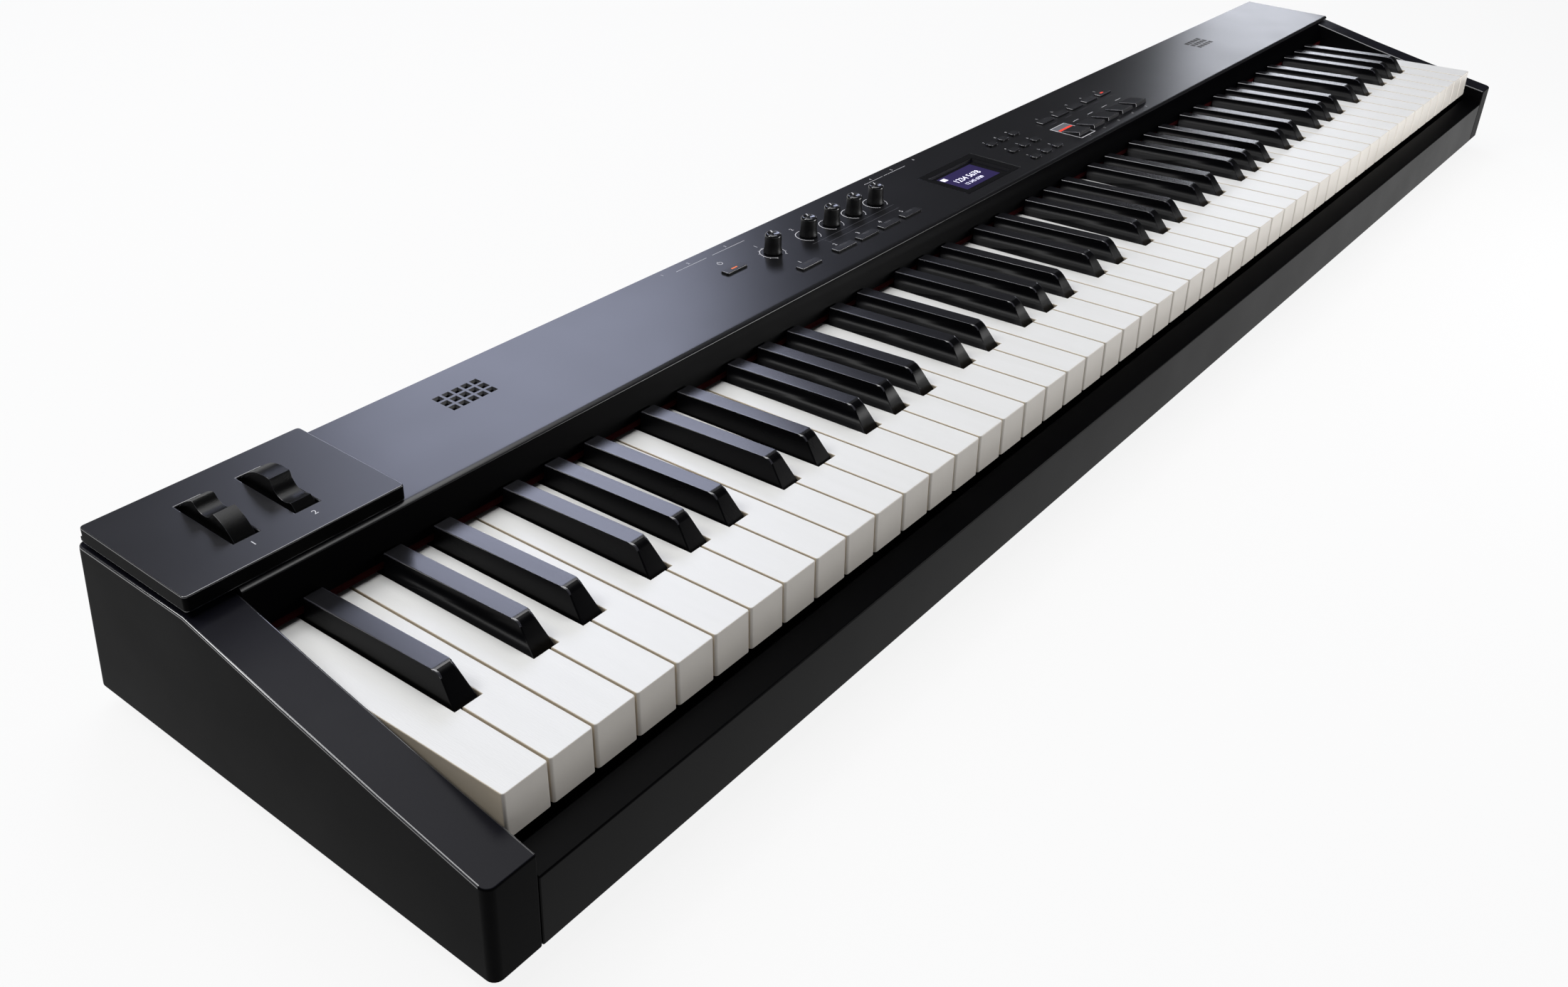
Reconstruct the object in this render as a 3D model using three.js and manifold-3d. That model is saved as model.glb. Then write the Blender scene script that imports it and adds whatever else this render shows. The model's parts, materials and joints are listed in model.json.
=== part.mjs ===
// Stage piano with 88 keys, raised wheel panel, knobs, display, buttons and tone pads.
// Millimetres. +X is the player's right, -Y the player's side, +Z up, and Z = 0 is the floor.
import * as THREE from 'three';
import { mergeVertices } from 'three/addons/utils/BufferGeometryUtils.js';
import Module from 'manifold-3d';

const wasm = await Module();
wasm.setup();

// Fits shared by the whole instrument
const fitGap = 0.3;
const overrun = 5;
const degree = Math.PI / 180;

// Keyboard
const whiteKeyCount = 52;
const whiteKeyPitch = 23.5;
const whiteKeySeam = 1;
const whiteHeadLength = 47.4;
const whiteFrontHeight = 21.5;
const whiteNoseDepth = 12;
const whiteBodyDepth = 14;
const whiteTopCover = 1.95;
const whiteTailStep = 4;
const keyTilt = 2.07 * degree;
const keyDip = 10;
const keyFrontDrop = 19;
const keyFrontGap = 2.45;
const keyEndGap = 0.7;
const blackChannelWidth = 13.8;
const blackBaseWidth = 12.3;
const blackTopWidth = 9.8;
const blackFrontGap = 1;
const blackFrontSlope = 10.2;
const blackTopRise = 12.1;
const blackTopFall = 2;
const blackRearGap = 7.25;
const blackLeverDrop = 2;
const blackLeverDepth = 10;
const cSharpOffset = -2.05;
const dSharpOffset = 2.39;
const fSharpOffset = -3.12;
const gSharpOffset = 0.09;
const aSharpOffset = 3.57;

// Key pivots, measured forward from the rear of the body and down from the key tops
const whitePivotRearGap = 39.55;
const whitePivotDrop = 20;
const blackPivotRearGap = 27.55;
const blackPivotDrop = 6;
const pivotBarSize = 8;
const pivotRodRadius = 2;

// Body
const panelFrontBack = 148.05;
const panelDepth = 80.5;
const endBlockWidth = 23.8;
const footHeight = 12;
const footRadius = 12;
const footInsetX = 75;
const footInsetY = 28;
const caseThickness = 2.7;
const caseLipHeight = 9;
const panelTopHeight = 95;
const panelThickness = 2;
const panelRearInset = 11;
const panelSideInset = 0.3;
const blockFrontDrop = 16.3;
const blockSag = 1.2;
const blockShoulderBack = 4;
const railFrontDrop = 28.5;
const railRearDrop = 25;
const railDepth = 15;
const railThickness = 3;
const railLipDrop = 11;
const rearPanelThickness = 3;

// Fallboard and felt behind the keys
const fallboardOverhang = 6.5;
const fallboardDrop = 18;
const fallboardThickness = 2.5;
const feltThickness = 2;
const feltInset = 0.3;
const feltBottomDrop = 22.2;
const fallboardFlangeDrop = 21;

// Wheel panel and wheels
const wheelPanelWidth = 108;
const wheelPanelSideInset = 1;
const wheelPanelFrontInset = 1;
const wheelPanelRearInset = 4.5;
const wheelPanelRise = 8;
const wheelPanelWall = 3;
const wheelPanelSkin = 2.5;
const wheelPanelReveal = 3;
const wheelRadius = 24.2;
const wheelWidth = 10.2;
const wheelSlotWidth = 12.4;
const wheelSlotLength = 41.8;
const wheelPocketGap = 0.8;
const wheelAxisOffset = 0.3;
const wheelAxisDrop = 7;
const wheelFirstX = 40.75;
const wheelPitchX = 30;
const wheelSectorAngle = 85 * degree;
const wheelHubRadius = 4.5;
const wheelAxleRadius = 2.5;
const wheelAxleReach = 4;
const wheelScoopRadius = 8;
const wheelScoopHalfChord = 7;
const modulationRestAngle = 26 * degree;
const bracketWall = 5.3;
const bracketHubCover = 1.7;

// Left control group, by distance from the middle of the instrument and of the panel
const knobColumnX = -167;
const knobColumnPitch = 24.8;
const controlKnobCount = 4;
const volumeKnobX = -203.4;
const knobRowOffset = 7.75;
const knobBaseRadius = 5.7;
const knobTopRadius = 5.15;
const knobHeight = 12.8;
const knobSeatGap = 0.4;
const knobShaftRadius = 3;
const knobBevel = 0.6;
const powerButtonX = -239;
const powerButtonOffset = 9;
const powerButtonWidth = 18;
const powerButtonDepth = 5.5;
const functionButtonWidth = 19.5;
const functionButtonDepth = 5.5;
const functionRowOffset = -19.95;

// Display
const displayX = 1.1;
const displayOffset = -9;
const displayWidth = 70.8;
const displayDepth = 41.5;
const displayRecess = 0.2;
const screenMargin = 3;
const screenEndMargin = 1;
const screenThickness = 5;

// Navigation buttons
const navigationX = 79.3;
const navigationOffset = -8.85;
const navigationPitchX = 16.45;
const navigationPitchY = 18.4;
const navigationWidth = 9.5;
const navigationDepth = 5.5;
const navigationCount = 3;

// Right control group
const rightColumnCount = 5;
const rightColumnPitch = 24.4;
const menuFirstX = 140.6;
const menuRowOffset = 7.05;
const menuButtonWidth = 19;
const menuButtonDepth = 6;
const padFirstX = 135.6;
const padRowOffset = -22.05;
const padWidth = 18.4;
const padDepth = 15.5;
const padRearRise = 0.7;
const padFrontRise = 3.3;

// Buttons in general
const buttonTravel = 1;
const buttonProud = 0.5;
const menuButtonProud = 0.1;
const buttonHoleGap = 0.3;
const buttonWebMargin = 2;
const buttonWebThickness = 1.2;

// Grilles and speakers
const grilleX = 445.8;
const grilleOffset = 13.15;
const grilleHole = 4.5;
const grillePitch = 6.05;
const grilleColumns = 5;
const grilleRows = 3;
const speakerMargin = 8;
const speakerFrameHeight = 4;
const speakerMagnetRadius = 13;
const speakerMagnetHeight = 8;
const speakerConeRadius = 14;
const speakerConeFloorRadius = 6;
const speakerConeDepth = 6;

// Boards
const boardThickness = 1.6;
const mainBoardMargin = 15.6;
const mainBoardScreenGap = 1.7;
const mainBoardFrontGap = 7;
const mainBoardRearGap = 8;
const boardPostRadius = 2.5;
const boardPostInset = 4;
const boardPostShares = [-0.97, -0.2, 0.2, 0.97];
const contactBoardDrop = 26;
const contactBoardDepth = 40;
const contactBoardBack = 101.05;

// Sockets in a plate that fills a notch in the rear panel
const socketRise = 17.3;
const socketFirstX = -232;
const socketPitch = 26;
const socketCount = 7;
const socketBodySize = 14;
const socketBoreRadius = 3.25;
const socketBoreDepth = 14.7;
const socketPlateHeight = 42;
const socketPlateMargin = 14;
const socketPlateBite = 0.2;
const powerSocketBoreRadius = 3;
const usbSocketWidth = 8.6;
const usbSocketHeight = 8;
const socketBoardHeight = 31;

// Key frame
const frameThickness = 2.5;
const frameWebThickness = 2;
const frameRibThickness = 6;
const stopFeltThickness = 2.5;
const stopFeltWidth = 8;
const stopFeltGap = 0.5;

// Places that follow from the values above
const keyboardWidth = whiteKeyCount * whiteKeyPitch;
const blockInnerX = keyboardWidth / 2 + keyEndGap;
const bodyHalfWidth = blockInnerX + endBlockWidth;
const betweenBlocksX = blockInnerX - fitGap;
const keyFrontBack = railDepth + keyFrontGap;
const bodyDepth = keyFrontBack + panelFrontBack + panelDepth + panelRearInset;
const bodyFrontY = -bodyDepth / 2;
const bodyRearY = bodyDepth / 2;
const keyFrontY = bodyFrontY + keyFrontBack;
const keyFrontHeight = panelTopHeight - keyFrontDrop;
const whiteTopLength = panelFrontBack + whiteTopCover;
const blackRearLength = panelFrontBack - blackRearGap;
const whitePivotBack = bodyDepth - keyFrontBack - whitePivotRearGap;
const blackPivotBack = bodyDepth - keyFrontBack - blackPivotRearGap;
const railFrontHeight = keyFrontHeight - railFrontDrop;
const railRearHeight = keyFrontHeight - railRearDrop;
const blockFrontHeight = keyFrontHeight - blockFrontDrop;
const panelFrontY = keyFrontY + panelFrontBack;
const panelMiddleY = panelFrontY + panelDepth / 2;
const blockShoulderY = panelFrontY + blockShoulderBack;
const panelUnderHeight = panelTopHeight - panelThickness;
const underPanelHeight = panelUnderHeight - fitGap;
const blockTopHeight = underPanelHeight;
const panelRearY = bodyRearY - panelRearInset;
const rearLean = (panelRearInset - fitGap) / (blockTopHeight - footHeight);
const caseTopHeight = footHeight + caseThickness;
const fallboardFootY = panelFrontY - fallboardOverhang;
const fallboardFootHeight = panelTopHeight - fallboardDrop;
const fallboardFlangeHeight = panelTopHeight - fallboardFlangeDrop;
const feltBottomHeight = panelTopHeight - feltBottomDrop;
const mainBoardTopHeight = underPanelHeight - screenThickness - mainBoardScreenGap;
const buttonRise = buttonTravel + buttonProud;
const menuButtonRise = buttonTravel + menuButtonProud;
const wheelPanelUnderHeight = panelTopHeight + fitGap;
const wheelPanelLeftX = -bodyHalfWidth + wheelPanelSideInset;
const wheelPanelFrontY = panelFrontY + wheelPanelFrontInset;
const wheelPanelDepth = panelDepth - wheelPanelFrontInset - wheelPanelRearInset;
const wheelPanelTopHeight = panelTopHeight + wheelPanelRise;
const wheelAxisY = wheelPanelFrontY + wheelPanelDepth / 2 + wheelAxisOffset;
const wheelAxisHeight = panelTopHeight - wheelAxisDrop;
const knobRowY = panelMiddleY + knobRowOffset;
const powerButtonY = panelMiddleY + powerButtonOffset;
const functionRowY = panelMiddleY + functionRowOffset;
const displayY = panelMiddleY + displayOffset;
const navigationY = panelMiddleY + navigationOffset;
const menuRowY = panelMiddleY + menuRowOffset;
const padRowY = panelMiddleY + padRowOffset;
const grilleY = panelMiddleY + grilleOffset;
const lastPadX = padFirstX + (rightColumnCount - 1) * rightColumnPitch;
const mainBoardHalfWidth = lastPadX + padWidth / 2 + mainBoardMargin;
const contactBoardHeight = keyFrontHeight - contactBoardDrop;
const contactBoardY = keyFrontY + contactBoardBack;
const socketHeight = caseTopHeight + socketRise;

const materials = {
  satinBody: [0x2b2b2f, 0.5, 0.1],
  railBlack: [0x1c1c1f, 0.45, 0.1],
  panelMetal: [0x3a3a41, 0.45, 0.6],
  underside: [0x222224, 0.8, 0],
  steel: [0x8a8d92, 0.4, 0.9],
  whiteKey: [0xe6e7ea, 0.3, 0],
  blackKey: [0x16161a, 0.25, 0],
  felt: [0x5a1416, 0.95, 0],
  rubber: [0x18181a, 0.9, 0],
  control: [0x1b1b1e, 0.4, 0.1],
  window: [0x0c0c10, 0.1, 0],
  screen: [0x3b2f63, 0.3, 0],
  board: [0x1f4a2c, 0.6, 0],
};

// Solids and geometries

function solidOf(geometry) {
  const bare = geometry.index ? geometry.toNonIndexed() : geometry.clone();
  bare.deleteAttribute('normal');
  bare.deleteAttribute('uv');
  const merged = mergeVertices(bare);
  return new wasm.Manifold(new wasm.Mesh({
    numProp: 3,
    vertProperties: Float32Array.from(merged.attributes.position.array),
    triVerts: Uint32Array.from(merged.index.array),
  }));
}

function geometryOf(solid) {
  const mesh = solid.getMesh();
  const geometry = new THREE.BufferGeometry();
  geometry.setAttribute('position', new THREE.BufferAttribute(mesh.vertProperties, 3));
  geometry.setIndex(new THREE.BufferAttribute(mesh.triVerts, 1));
  geometry.computeVertexNormals();
  return geometry;
}

function box(x, y, z) {
  const geometry = new THREE.BoxGeometry(x[1] - x[0], y[1] - y[0], z[1] - z[0]);
  geometry.translate((x[0] + x[1]) / 2, (y[0] + y[1]) / 2, (z[0] + z[1]) / 2);
  return solidOf(geometry);
}

function around(centre, size) {
  return [centre - size / 2, centre + size / 2];
}

function outline(points) {
  return new THREE.Shape(points.map(([u, v]) => new THREE.Vector2(u, v)));
}

// A section drawn in Y and Z, run along X
function alongX(shape, x, curveSegments = 12) {
  const geometry = new THREE.ExtrudeGeometry(shape, {
    depth: x[1] - x[0],
    bevelEnabled: false,
    curveSegments,
  });
  const axes = new THREE.Matrix4().makeBasis(
    new THREE.Vector3(0, 1, 0),
    new THREE.Vector3(0, 0, 1),
    new THREE.Vector3(1, 0, 0),
  );
  geometry.applyMatrix4(axes);
  geometry.translate(x[0], 0, 0);
  return solidOf(geometry);
}

// A plan drawn in X and Y, raised along Z
function raised(shape, z, curveSegments = 6) {
  const geometry = new THREE.ExtrudeGeometry(shape, {
    depth: z[1] - z[0],
    bevelEnabled: false,
    curveSegments,
  });
  geometry.translate(0, 0, z[0]);
  return solidOf(geometry);
}

function rodAlongX(radius, x, y, z, sides = 16) {
  const geometry = new THREE.CylinderGeometry(radius, radius, x[1] - x[0], sides);
  geometry.rotateZ(Math.PI / 2);
  geometry.translate((x[0] + x[1]) / 2, y, z);
  return solidOf(geometry);
}

function rodAlongY(radius, x, y, z, sides = 16) {
  const geometry = new THREE.CylinderGeometry(radius, radius, y[1] - y[0], sides);
  geometry.translate(x, (y[0] + y[1]) / 2, z);
  return solidOf(geometry);
}

function rodAlongZ(radius, x, y, z, sides = 16) {
  return coneAlongZ(radius, radius, x, y, z, sides);
}

function coneAlongZ(topRadius, bottomRadius, x, y, z, sides = 16) {
  const geometry = new THREE.CylinderGeometry(topRadius, bottomRadius, z[1] - z[0], sides);
  geometry.rotateX(Math.PI / 2);
  geometry.translate(x, y, (z[0] + z[1]) / 2);
  return solidOf(geometry);
}

function joined(solids) {
  return solids.reduce((whole, solid) => whole.add(solid));
}

const piano = new THREE.Group();
const keyboard = new THREE.Group();
keyboard.position.set(-keyboardWidth / 2, keyFrontY, keyFrontHeight);
keyboard.rotation.x = -keyTilt;
piano.add(keyboard);

function place(name, solid, finish, group = piano) {
  const [color, roughness, metalness] = materials[finish];
  const material = new THREE.MeshStandardMaterial({ color, roughness, metalness });
  const mesh = new THREE.Mesh(geometryOf(solid), material);
  mesh.name = name;
  group.add(mesh);
  return mesh;
}

// A point of the tilted keyboard, given back from the key fronts and down from the key tops
function keyboardPoint(back, drop) {
  return {
    y: keyFrontY + back * Math.cos(keyTilt) - drop * Math.sin(keyTilt),
    z: keyFrontHeight - back * Math.sin(keyTilt) - drop * Math.cos(keyTilt),
  };
}

// Outer face of the leaning rear panel at a height
function rearFaceY(height) {
  return bodyRearY - (height - footHeight) * rearLean;
}

// Case

function bottomCase() {
  const front = bodyFrontY + railThickness + fitGap;
  const lipTop = caseTopHeight + caseLipHeight;
  const rear = rearFaceY(lipTop) - rearPanelThickness - fitGap;
  return alongX(outline([
    [front, footHeight],
    [rear, footHeight],
    [rear, lipTop],
    [rear - caseThickness, lipTop],
    [rear - caseThickness, caseTopHeight],
    [front + caseThickness, caseTopHeight],
    [front + caseThickness, lipTop],
    [front, lipTop],
  ]), [-betweenBlocksX, betweenBlocksX]);
}

function endBlock(side) {
  const section = outline([
    [bodyFrontY, footHeight],
    [bodyRearY, footHeight],
    [rearFaceY(blockTopHeight), blockTopHeight],
    [blockShoulderY, blockTopHeight],
  ]);
  section.quadraticCurveTo(
    (blockShoulderY + bodyFrontY) / 2,
    (blockTopHeight + blockFrontHeight) / 2 - 2 * blockSag,
    bodyFrontY,
    blockFrontHeight,
  );
  const span = side < 0 ? [-bodyHalfWidth, -blockInnerX] : [blockInnerX, bodyHalfWidth];
  return alongX(section, span, 6);
}

function frontRail() {
  const rear = bodyFrontY + railDepth;
  return alongX(outline([
    [bodyFrontY, footHeight],
    [bodyFrontY + railThickness, footHeight],
    [bodyFrontY + railThickness, railFrontHeight - railThickness],
    [rear - railThickness, railRearHeight - railThickness],
    [rear - railThickness, railRearHeight - railLipDrop],
    [rear, railRearHeight - railLipDrop],
    [rear, railRearHeight],
    [bodyFrontY, railFrontHeight],
  ]), [-betweenBlocksX, betweenBlocksX]);
}

function socketX(index) {
  return socketFirstX + index * socketPitch;
}

const usbSocketIndex = 1;

const socketPlateX = [
  socketX(0) - socketPlateMargin,
  socketX(socketCount - 1) + socketPlateMargin,
];

// A plate that leans as the back of the instrument does
function leaningPlate(x, top) {
  return alongX(outline([
    [rearFaceY(footHeight) - rearPanelThickness, footHeight],
    [rearFaceY(footHeight), footHeight],
    [rearFaceY(top), top],
    [rearFaceY(top) - rearPanelThickness, top],
  ]), x);
}

function rearPanel() {
  const top = footHeight + socketPlateHeight + fitGap;
  const notch = box(
    [socketPlateX[0] - fitGap, socketPlateX[1] + fitGap],
    [rearFaceY(top) - rearPanelThickness - overrun, bodyRearY + overrun],
    [footHeight - overrun, top],
  );
  return leaningPlate([-betweenBlocksX, betweenBlocksX], blockTopHeight).subtract(notch);
}

function foot(sideX, sideY) {
  const x = sideX * (bodyHalfWidth - footInsetX);
  const y = sideY * (bodyRearY - footInsetY);
  return rodAlongZ(footRadius, x, y, [0, footHeight - fitGap], 24);
}

// Top panel with its openings and the fallboard below its front edge

const panelCut = [panelUnderHeight - overrun, panelTopHeight + overrun];

function panelHole(x, y, width, depth) {
  return box(around(x, width), around(y, depth), panelCut);
}

function buttonHole(x, y, width, depth) {
  return panelHole(x, y, width + 2 * buttonHoleGap, depth + 2 * buttonHoleGap);
}

function columnX(index) {
  return knobColumnX + index * knobColumnPitch;
}

const knobXs = [volumeKnobX];
for (let index = 0; index < controlKnobCount; index += 1) knobXs.push(columnX(index));

const functionButtons = knobXs.map((x) => [x, functionRowY]);
const menuButtons = [];
const tonePads = [];
for (let index = 0; index < rightColumnCount; index += 1) {
  menuButtons.push([menuFirstX + index * rightColumnPitch, menuRowY]);
  tonePads.push([padFirstX + index * rightColumnPitch, padRowY]);
}
const navigationButtons = [];
for (let row = 0; row < navigationCount; row += 1) {
  for (let column = 0; column < navigationCount; column += 1) {
    const middle = (navigationCount - 1) / 2;
    const x = navigationX + (column - middle) * navigationPitchX;
    const y = navigationY + (row - middle) * navigationPitchY;
    navigationButtons.push([x, y]);
  }
}

const wheelXs = [wheelFirstX, wheelFirstX + wheelPitchX].map((x) => -bodyHalfWidth + x);
const wheelPocketLength = 2 * (wheelRadius + wheelPocketGap);
const bracketX = [
  wheelXs[0] - wheelSlotWidth / 2 - bracketWall,
  wheelXs[1] + wheelSlotWidth / 2 + bracketWall,
];
const bracketY = [
  wheelPanelFrontY + wheelPanelWall + fitGap,
  wheelPanelFrontY + wheelPanelDepth - wheelPanelWall - fitGap,
];

function grilleHoles(centreX) {
  const holes = [];
  for (let row = 0; row < grilleRows; row += 1) {
    for (let column = 0; column < grilleColumns; column += 1) {
      const x = centreX + (column - (grilleColumns - 1) / 2) * grillePitch;
      const y = grilleY + (row - (grilleRows - 1) / 2) * grillePitch;
      holes.push(panelHole(x, y, grilleHole, grilleHole));
    }
  }
  return holes;
}

function topPanel() {
  const left = -bodyHalfWidth + wheelPanelReveal;
  const right = bodyHalfWidth - panelSideInset;
  const plan = outline([
    [left, blockShoulderY],
    [-betweenBlocksX, blockShoulderY],
    [-betweenBlocksX, panelFrontY],
    [right, panelFrontY],
    [right, panelRearY],
    [left, panelRearY],
  ]);
  const holes = [
    ...grilleHoles(-grilleX),
    ...grilleHoles(grilleX),
    ...knobXs.map((x) => rodAlongZ(knobShaftRadius + buttonHoleGap, x, knobRowY, panelCut)),
    buttonHole(powerButtonX, powerButtonY, powerButtonWidth, powerButtonDepth),
    ...functionButtons.map(([x, y]) => buttonHole(x, y, functionButtonWidth, functionButtonDepth)),
    buttonHole(displayX, displayY, displayWidth, displayDepth),
    ...navigationButtons.map(([x, y]) => buttonHole(x, y, navigationWidth, navigationDepth)),
    ...menuButtons.map(([x, y]) => buttonHole(x, y, menuButtonWidth, menuButtonDepth)),
    ...tonePads.map(([x, y]) => buttonHole(x, y, padWidth, padDepth)),
    panelHole(
      (bracketX[0] + bracketX[1]) / 2,
      (bracketY[0] + bracketY[1]) / 2,
      bracketX[1] - bracketX[0] + 2 * fitGap,
      bracketY[1] - bracketY[0] + 2 * fitGap,
    ),
  ];
  const plate = raised(plan, [panelUnderHeight, panelTopHeight]).subtract(joined(holes));
  const flangeY = fallboardFootY + feltInset + feltThickness + fitGap;
  const shelfHeight = fallboardFootHeight + fallboardThickness;
  const fallboard = alongX(outline([
    [panelFrontY, panelTopHeight],
    [fallboardFootY, fallboardFootHeight],
    [flangeY, fallboardFootHeight],
    [flangeY, fallboardFlangeHeight],
    [flangeY + fallboardThickness, fallboardFlangeHeight],
    [flangeY + fallboardThickness, shelfHeight],
    [panelFrontY + fallboardThickness, panelUnderHeight],
    [panelFrontY + fallboardThickness, panelTopHeight],
  ]), [-betweenBlocksX, betweenBlocksX]);
  return plate.add(fallboard);
}

function keyFelt() {
  const front = fallboardFootY + feltInset;
  const span = [-betweenBlocksX + fitGap, betweenBlocksX - fitGap];
  return box(span, [front, front + feltThickness], [feltBottomHeight, fallboardFootHeight - fitGap]);
}

// Wheel panel: a shell that is open below, with a slot for each wheel

function wheelPanel() {
  const x = [wheelPanelLeftX, wheelPanelLeftX + wheelPanelWidth];
  const y = [wheelPanelFrontY, wheelPanelFrontY + wheelPanelDepth];
  const outer = box(x, y, [wheelPanelUnderHeight, wheelPanelTopHeight]);
  const inner = box(
    [x[0] + wheelPanelWall, x[1] - wheelPanelWall],
    [y[0] + wheelPanelWall, y[1] - wheelPanelWall],
    [wheelPanelUnderHeight - overrun, wheelPanelTopHeight - wheelPanelSkin],
  );
  const slots = wheelXs.map((centre) => box(
    around(centre, wheelSlotWidth),
    around(wheelAxisY, wheelSlotLength),
    [wheelPanelUnderHeight, wheelPanelTopHeight + overrun],
  ));
  return outer.subtract(inner).subtract(joined(slots));
}

function wheelBracket() {
  const bottom = wheelAxisHeight - wheelHubRadius - bracketHubCover;
  const top = wheelPanelTopHeight - wheelPanelSkin - fitGap;
  const pockets = wheelXs.map((centre) => box(
    around(centre, wheelSlotWidth),
    around(wheelAxisY, wheelPocketLength),
    [bottom - overrun, top + overrun],
  ));
  const axleHole = rodAlongX(
    wheelAxleRadius + fitGap,
    [bracketX[0] - overrun, bracketX[1] + overrun],
    wheelAxisY,
    wheelAxisHeight,
  );
  return box(bracketX, bracketY, [bottom, top]).subtract(joined(pockets)).subtract(axleHole);
}

// A wheel sector about the origin, its axle along X, with a finger scoop in the rim
function wheel(restAngle) {
  const rimStart = Math.PI / 2 - wheelSectorAngle;
  const rimEnd = Math.PI / 2 + wheelSectorAngle;
  const sector = new THREE.Shape();
  sector.absarc(0, 0, wheelRadius, rimStart, rimEnd);
  sector.absarc(0, 0, wheelHubRadius, Math.PI, 2 * Math.PI);
  const span = around(0, wheelWidth);
  const ridgeHeight = Math.sqrt(wheelRadius ** 2 - wheelScoopHalfChord ** 2);
  const scoopRise = Math.sqrt(wheelScoopRadius ** 2 - wheelScoopHalfChord ** 2);
  const scoopSpan = around(0, wheelWidth + overrun);
  const scoop = rodAlongX(wheelScoopRadius, scoopSpan, 0, ridgeHeight + scoopRise, 28);
  const axle = rodAlongX(wheelAxleRadius, around(0, wheelWidth + 2 * wheelAxleReach), 0, 0);
  const solid = alongX(sector, span, 20).subtract(scoop).add(axle);
  return solid.rotate([restAngle / degree, 0, 0]);
}

function placeWheel(name, x, restAngle) {
  const mesh = place(name, wheel(restAngle), 'control');
  mesh.position.set(x, wheelAxisY, wheelAxisHeight);
}

// Controls

function knob(x) {
  const foot = panelTopHeight + knobSeatGap;
  const top = panelTopHeight + knobHeight;
  const shaftFoot = mainBoardTopHeight + fitGap;
  const profile = [
    [0, shaftFoot],
    [knobShaftRadius, shaftFoot],
    [knobShaftRadius, foot],
    [knobBaseRadius, foot],
    [knobTopRadius, top - knobBevel],
    [knobTopRadius - knobBevel, top],
    [0, top],
  ].map(([radius, height]) => new THREE.Vector2(radius, height));
  const geometry = new THREE.LatheGeometry(profile, 20);
  geometry.rotateX(Math.PI / 2);
  geometry.translate(x, knobRowY, 0);
  return solidOf(geometry);
}

// Caps that stand through the panel, joined below it by one moulded web
function buttonStrip(centres, width, depth, rise) {
  const webTop = underPanelHeight;
  const xs = centres.map(([x]) => x);
  const ys = centres.map(([, y]) => y);
  const web = box(
    [Math.min(...xs) - width / 2 - buttonWebMargin, Math.max(...xs) + width / 2 + buttonWebMargin],
    [Math.min(...ys) - depth / 2 - buttonWebMargin, Math.max(...ys) + depth / 2 + buttonWebMargin],
    [webTop - buttonWebThickness, webTop],
  );
  const caps = centres.map(([x, y]) => box(
    around(x, width),
    around(y, depth),
    [webTop - buttonWebThickness, panelTopHeight + rise],
  ));
  return joined([web, ...caps]);
}

function tonePadStrip() {
  const strip = buttonStrip(tonePads, padWidth, padDepth, 0);
  const wedges = tonePads.map(([x, y]) => alongX(outline([
    [y - padDepth / 2, underPanelHeight],
    [y + padDepth / 2, underPanelHeight],
    [y + padDepth / 2, panelTopHeight + padRearRise],
    [y - padDepth / 2 + padRearRise, panelTopHeight + padFrontRise],
    [y - padDepth / 2, panelTopHeight + padRearRise],
  ]), around(x, padWidth)));
  return joined([strip, ...wedges]);
}

function displayWindow() {
  return box(
    around(displayX, displayWidth),
    around(displayY, displayDepth),
    [panelUnderHeight, panelTopHeight - displayRecess],
  );
}

function displayScreen() {
  return box(
    around(displayX, displayWidth + 2 * screenMargin),
    around(displayY, displayDepth + 2 * screenEndMargin),
    [underPanelHeight - screenThickness, underPanelHeight],
  );
}

// Boards and speakers

function mainBoard() {
  const z = [mainBoardTopHeight - boardThickness, mainBoardTopHeight];
  const front = panelFrontY + mainBoardFrontGap;
  const rear = panelRearY - mainBoardRearGap;
  const plate = box([-mainBoardHalfWidth, mainBoardHalfWidth], [front, rear], z);
  const posts = [];
  for (const share of boardPostShares) {
    for (const y of [front + boardPostInset, rear - boardPostInset]) {
      posts.push(rodAlongZ(boardPostRadius, share * mainBoardHalfWidth, y, [z[0], underPanelHeight], 10));
    }
  }
  return joined([plate, ...posts]);
}

function speaker(centreX) {
  const width = grilleColumns * grillePitch + 2 * speakerMargin;
  const depth = grilleRows * grillePitch + 2 * speakerMargin;
  const frameFoot = underPanelHeight - speakerFrameHeight;
  const frame = box(around(centreX, width), around(grilleY, depth), [frameFoot, underPanelHeight]);
  const magnetSpan = [frameFoot - speakerMagnetHeight, underPanelHeight];
  const magnet = rodAlongZ(speakerMagnetRadius, centreX, grilleY, magnetSpan, 24);
  const coneSpan = [underPanelHeight - speakerConeDepth, underPanelHeight];
  const cone = coneAlongZ(speakerConeRadius, speakerConeFloorRadius, centreX, grilleY, coneSpan, 24);
  return frame.add(magnet).subtract(cone);
}

function socketBoard() {
  const housingRear = rearFaceY(socketHeight + socketBodySize / 2) - socketPlateBite;
  const boreFloor = rearFaceY(socketHeight) - socketBoreDepth;
  const boardFront = boreFloor - boardThickness - fitGap;
  const boardFoot = caseTopHeight + fitGap;
  const boardY = [boardFront, boardFront + boardThickness];
  const board = box(socketPlateX, boardY, [boardFoot, boardFoot + socketBoardHeight]);
  let solid = leaningPlate(socketPlateX, footHeight + socketPlateHeight).add(board);
  const bores = [];
  for (let index = 0; index < socketCount; index += 1) {
    const x = socketX(index);
    const housingZ = around(socketHeight, socketBodySize);
    solid = solid.add(box(around(x, socketBodySize), [boardFront, housingRear], housingZ));
    const boreY = [boreFloor, bodyRearY + overrun];
    const boreRadius = index === 0 ? powerSocketBoreRadius : socketBoreRadius;
    bores.push(index === usbSocketIndex
      ? box(around(x, usbSocketWidth), boreY, around(socketHeight, usbSocketHeight))
      : rodAlongY(boreRadius, x, boreY, socketHeight));
  }
  return solid.subtract(joined(bores));
}

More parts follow.
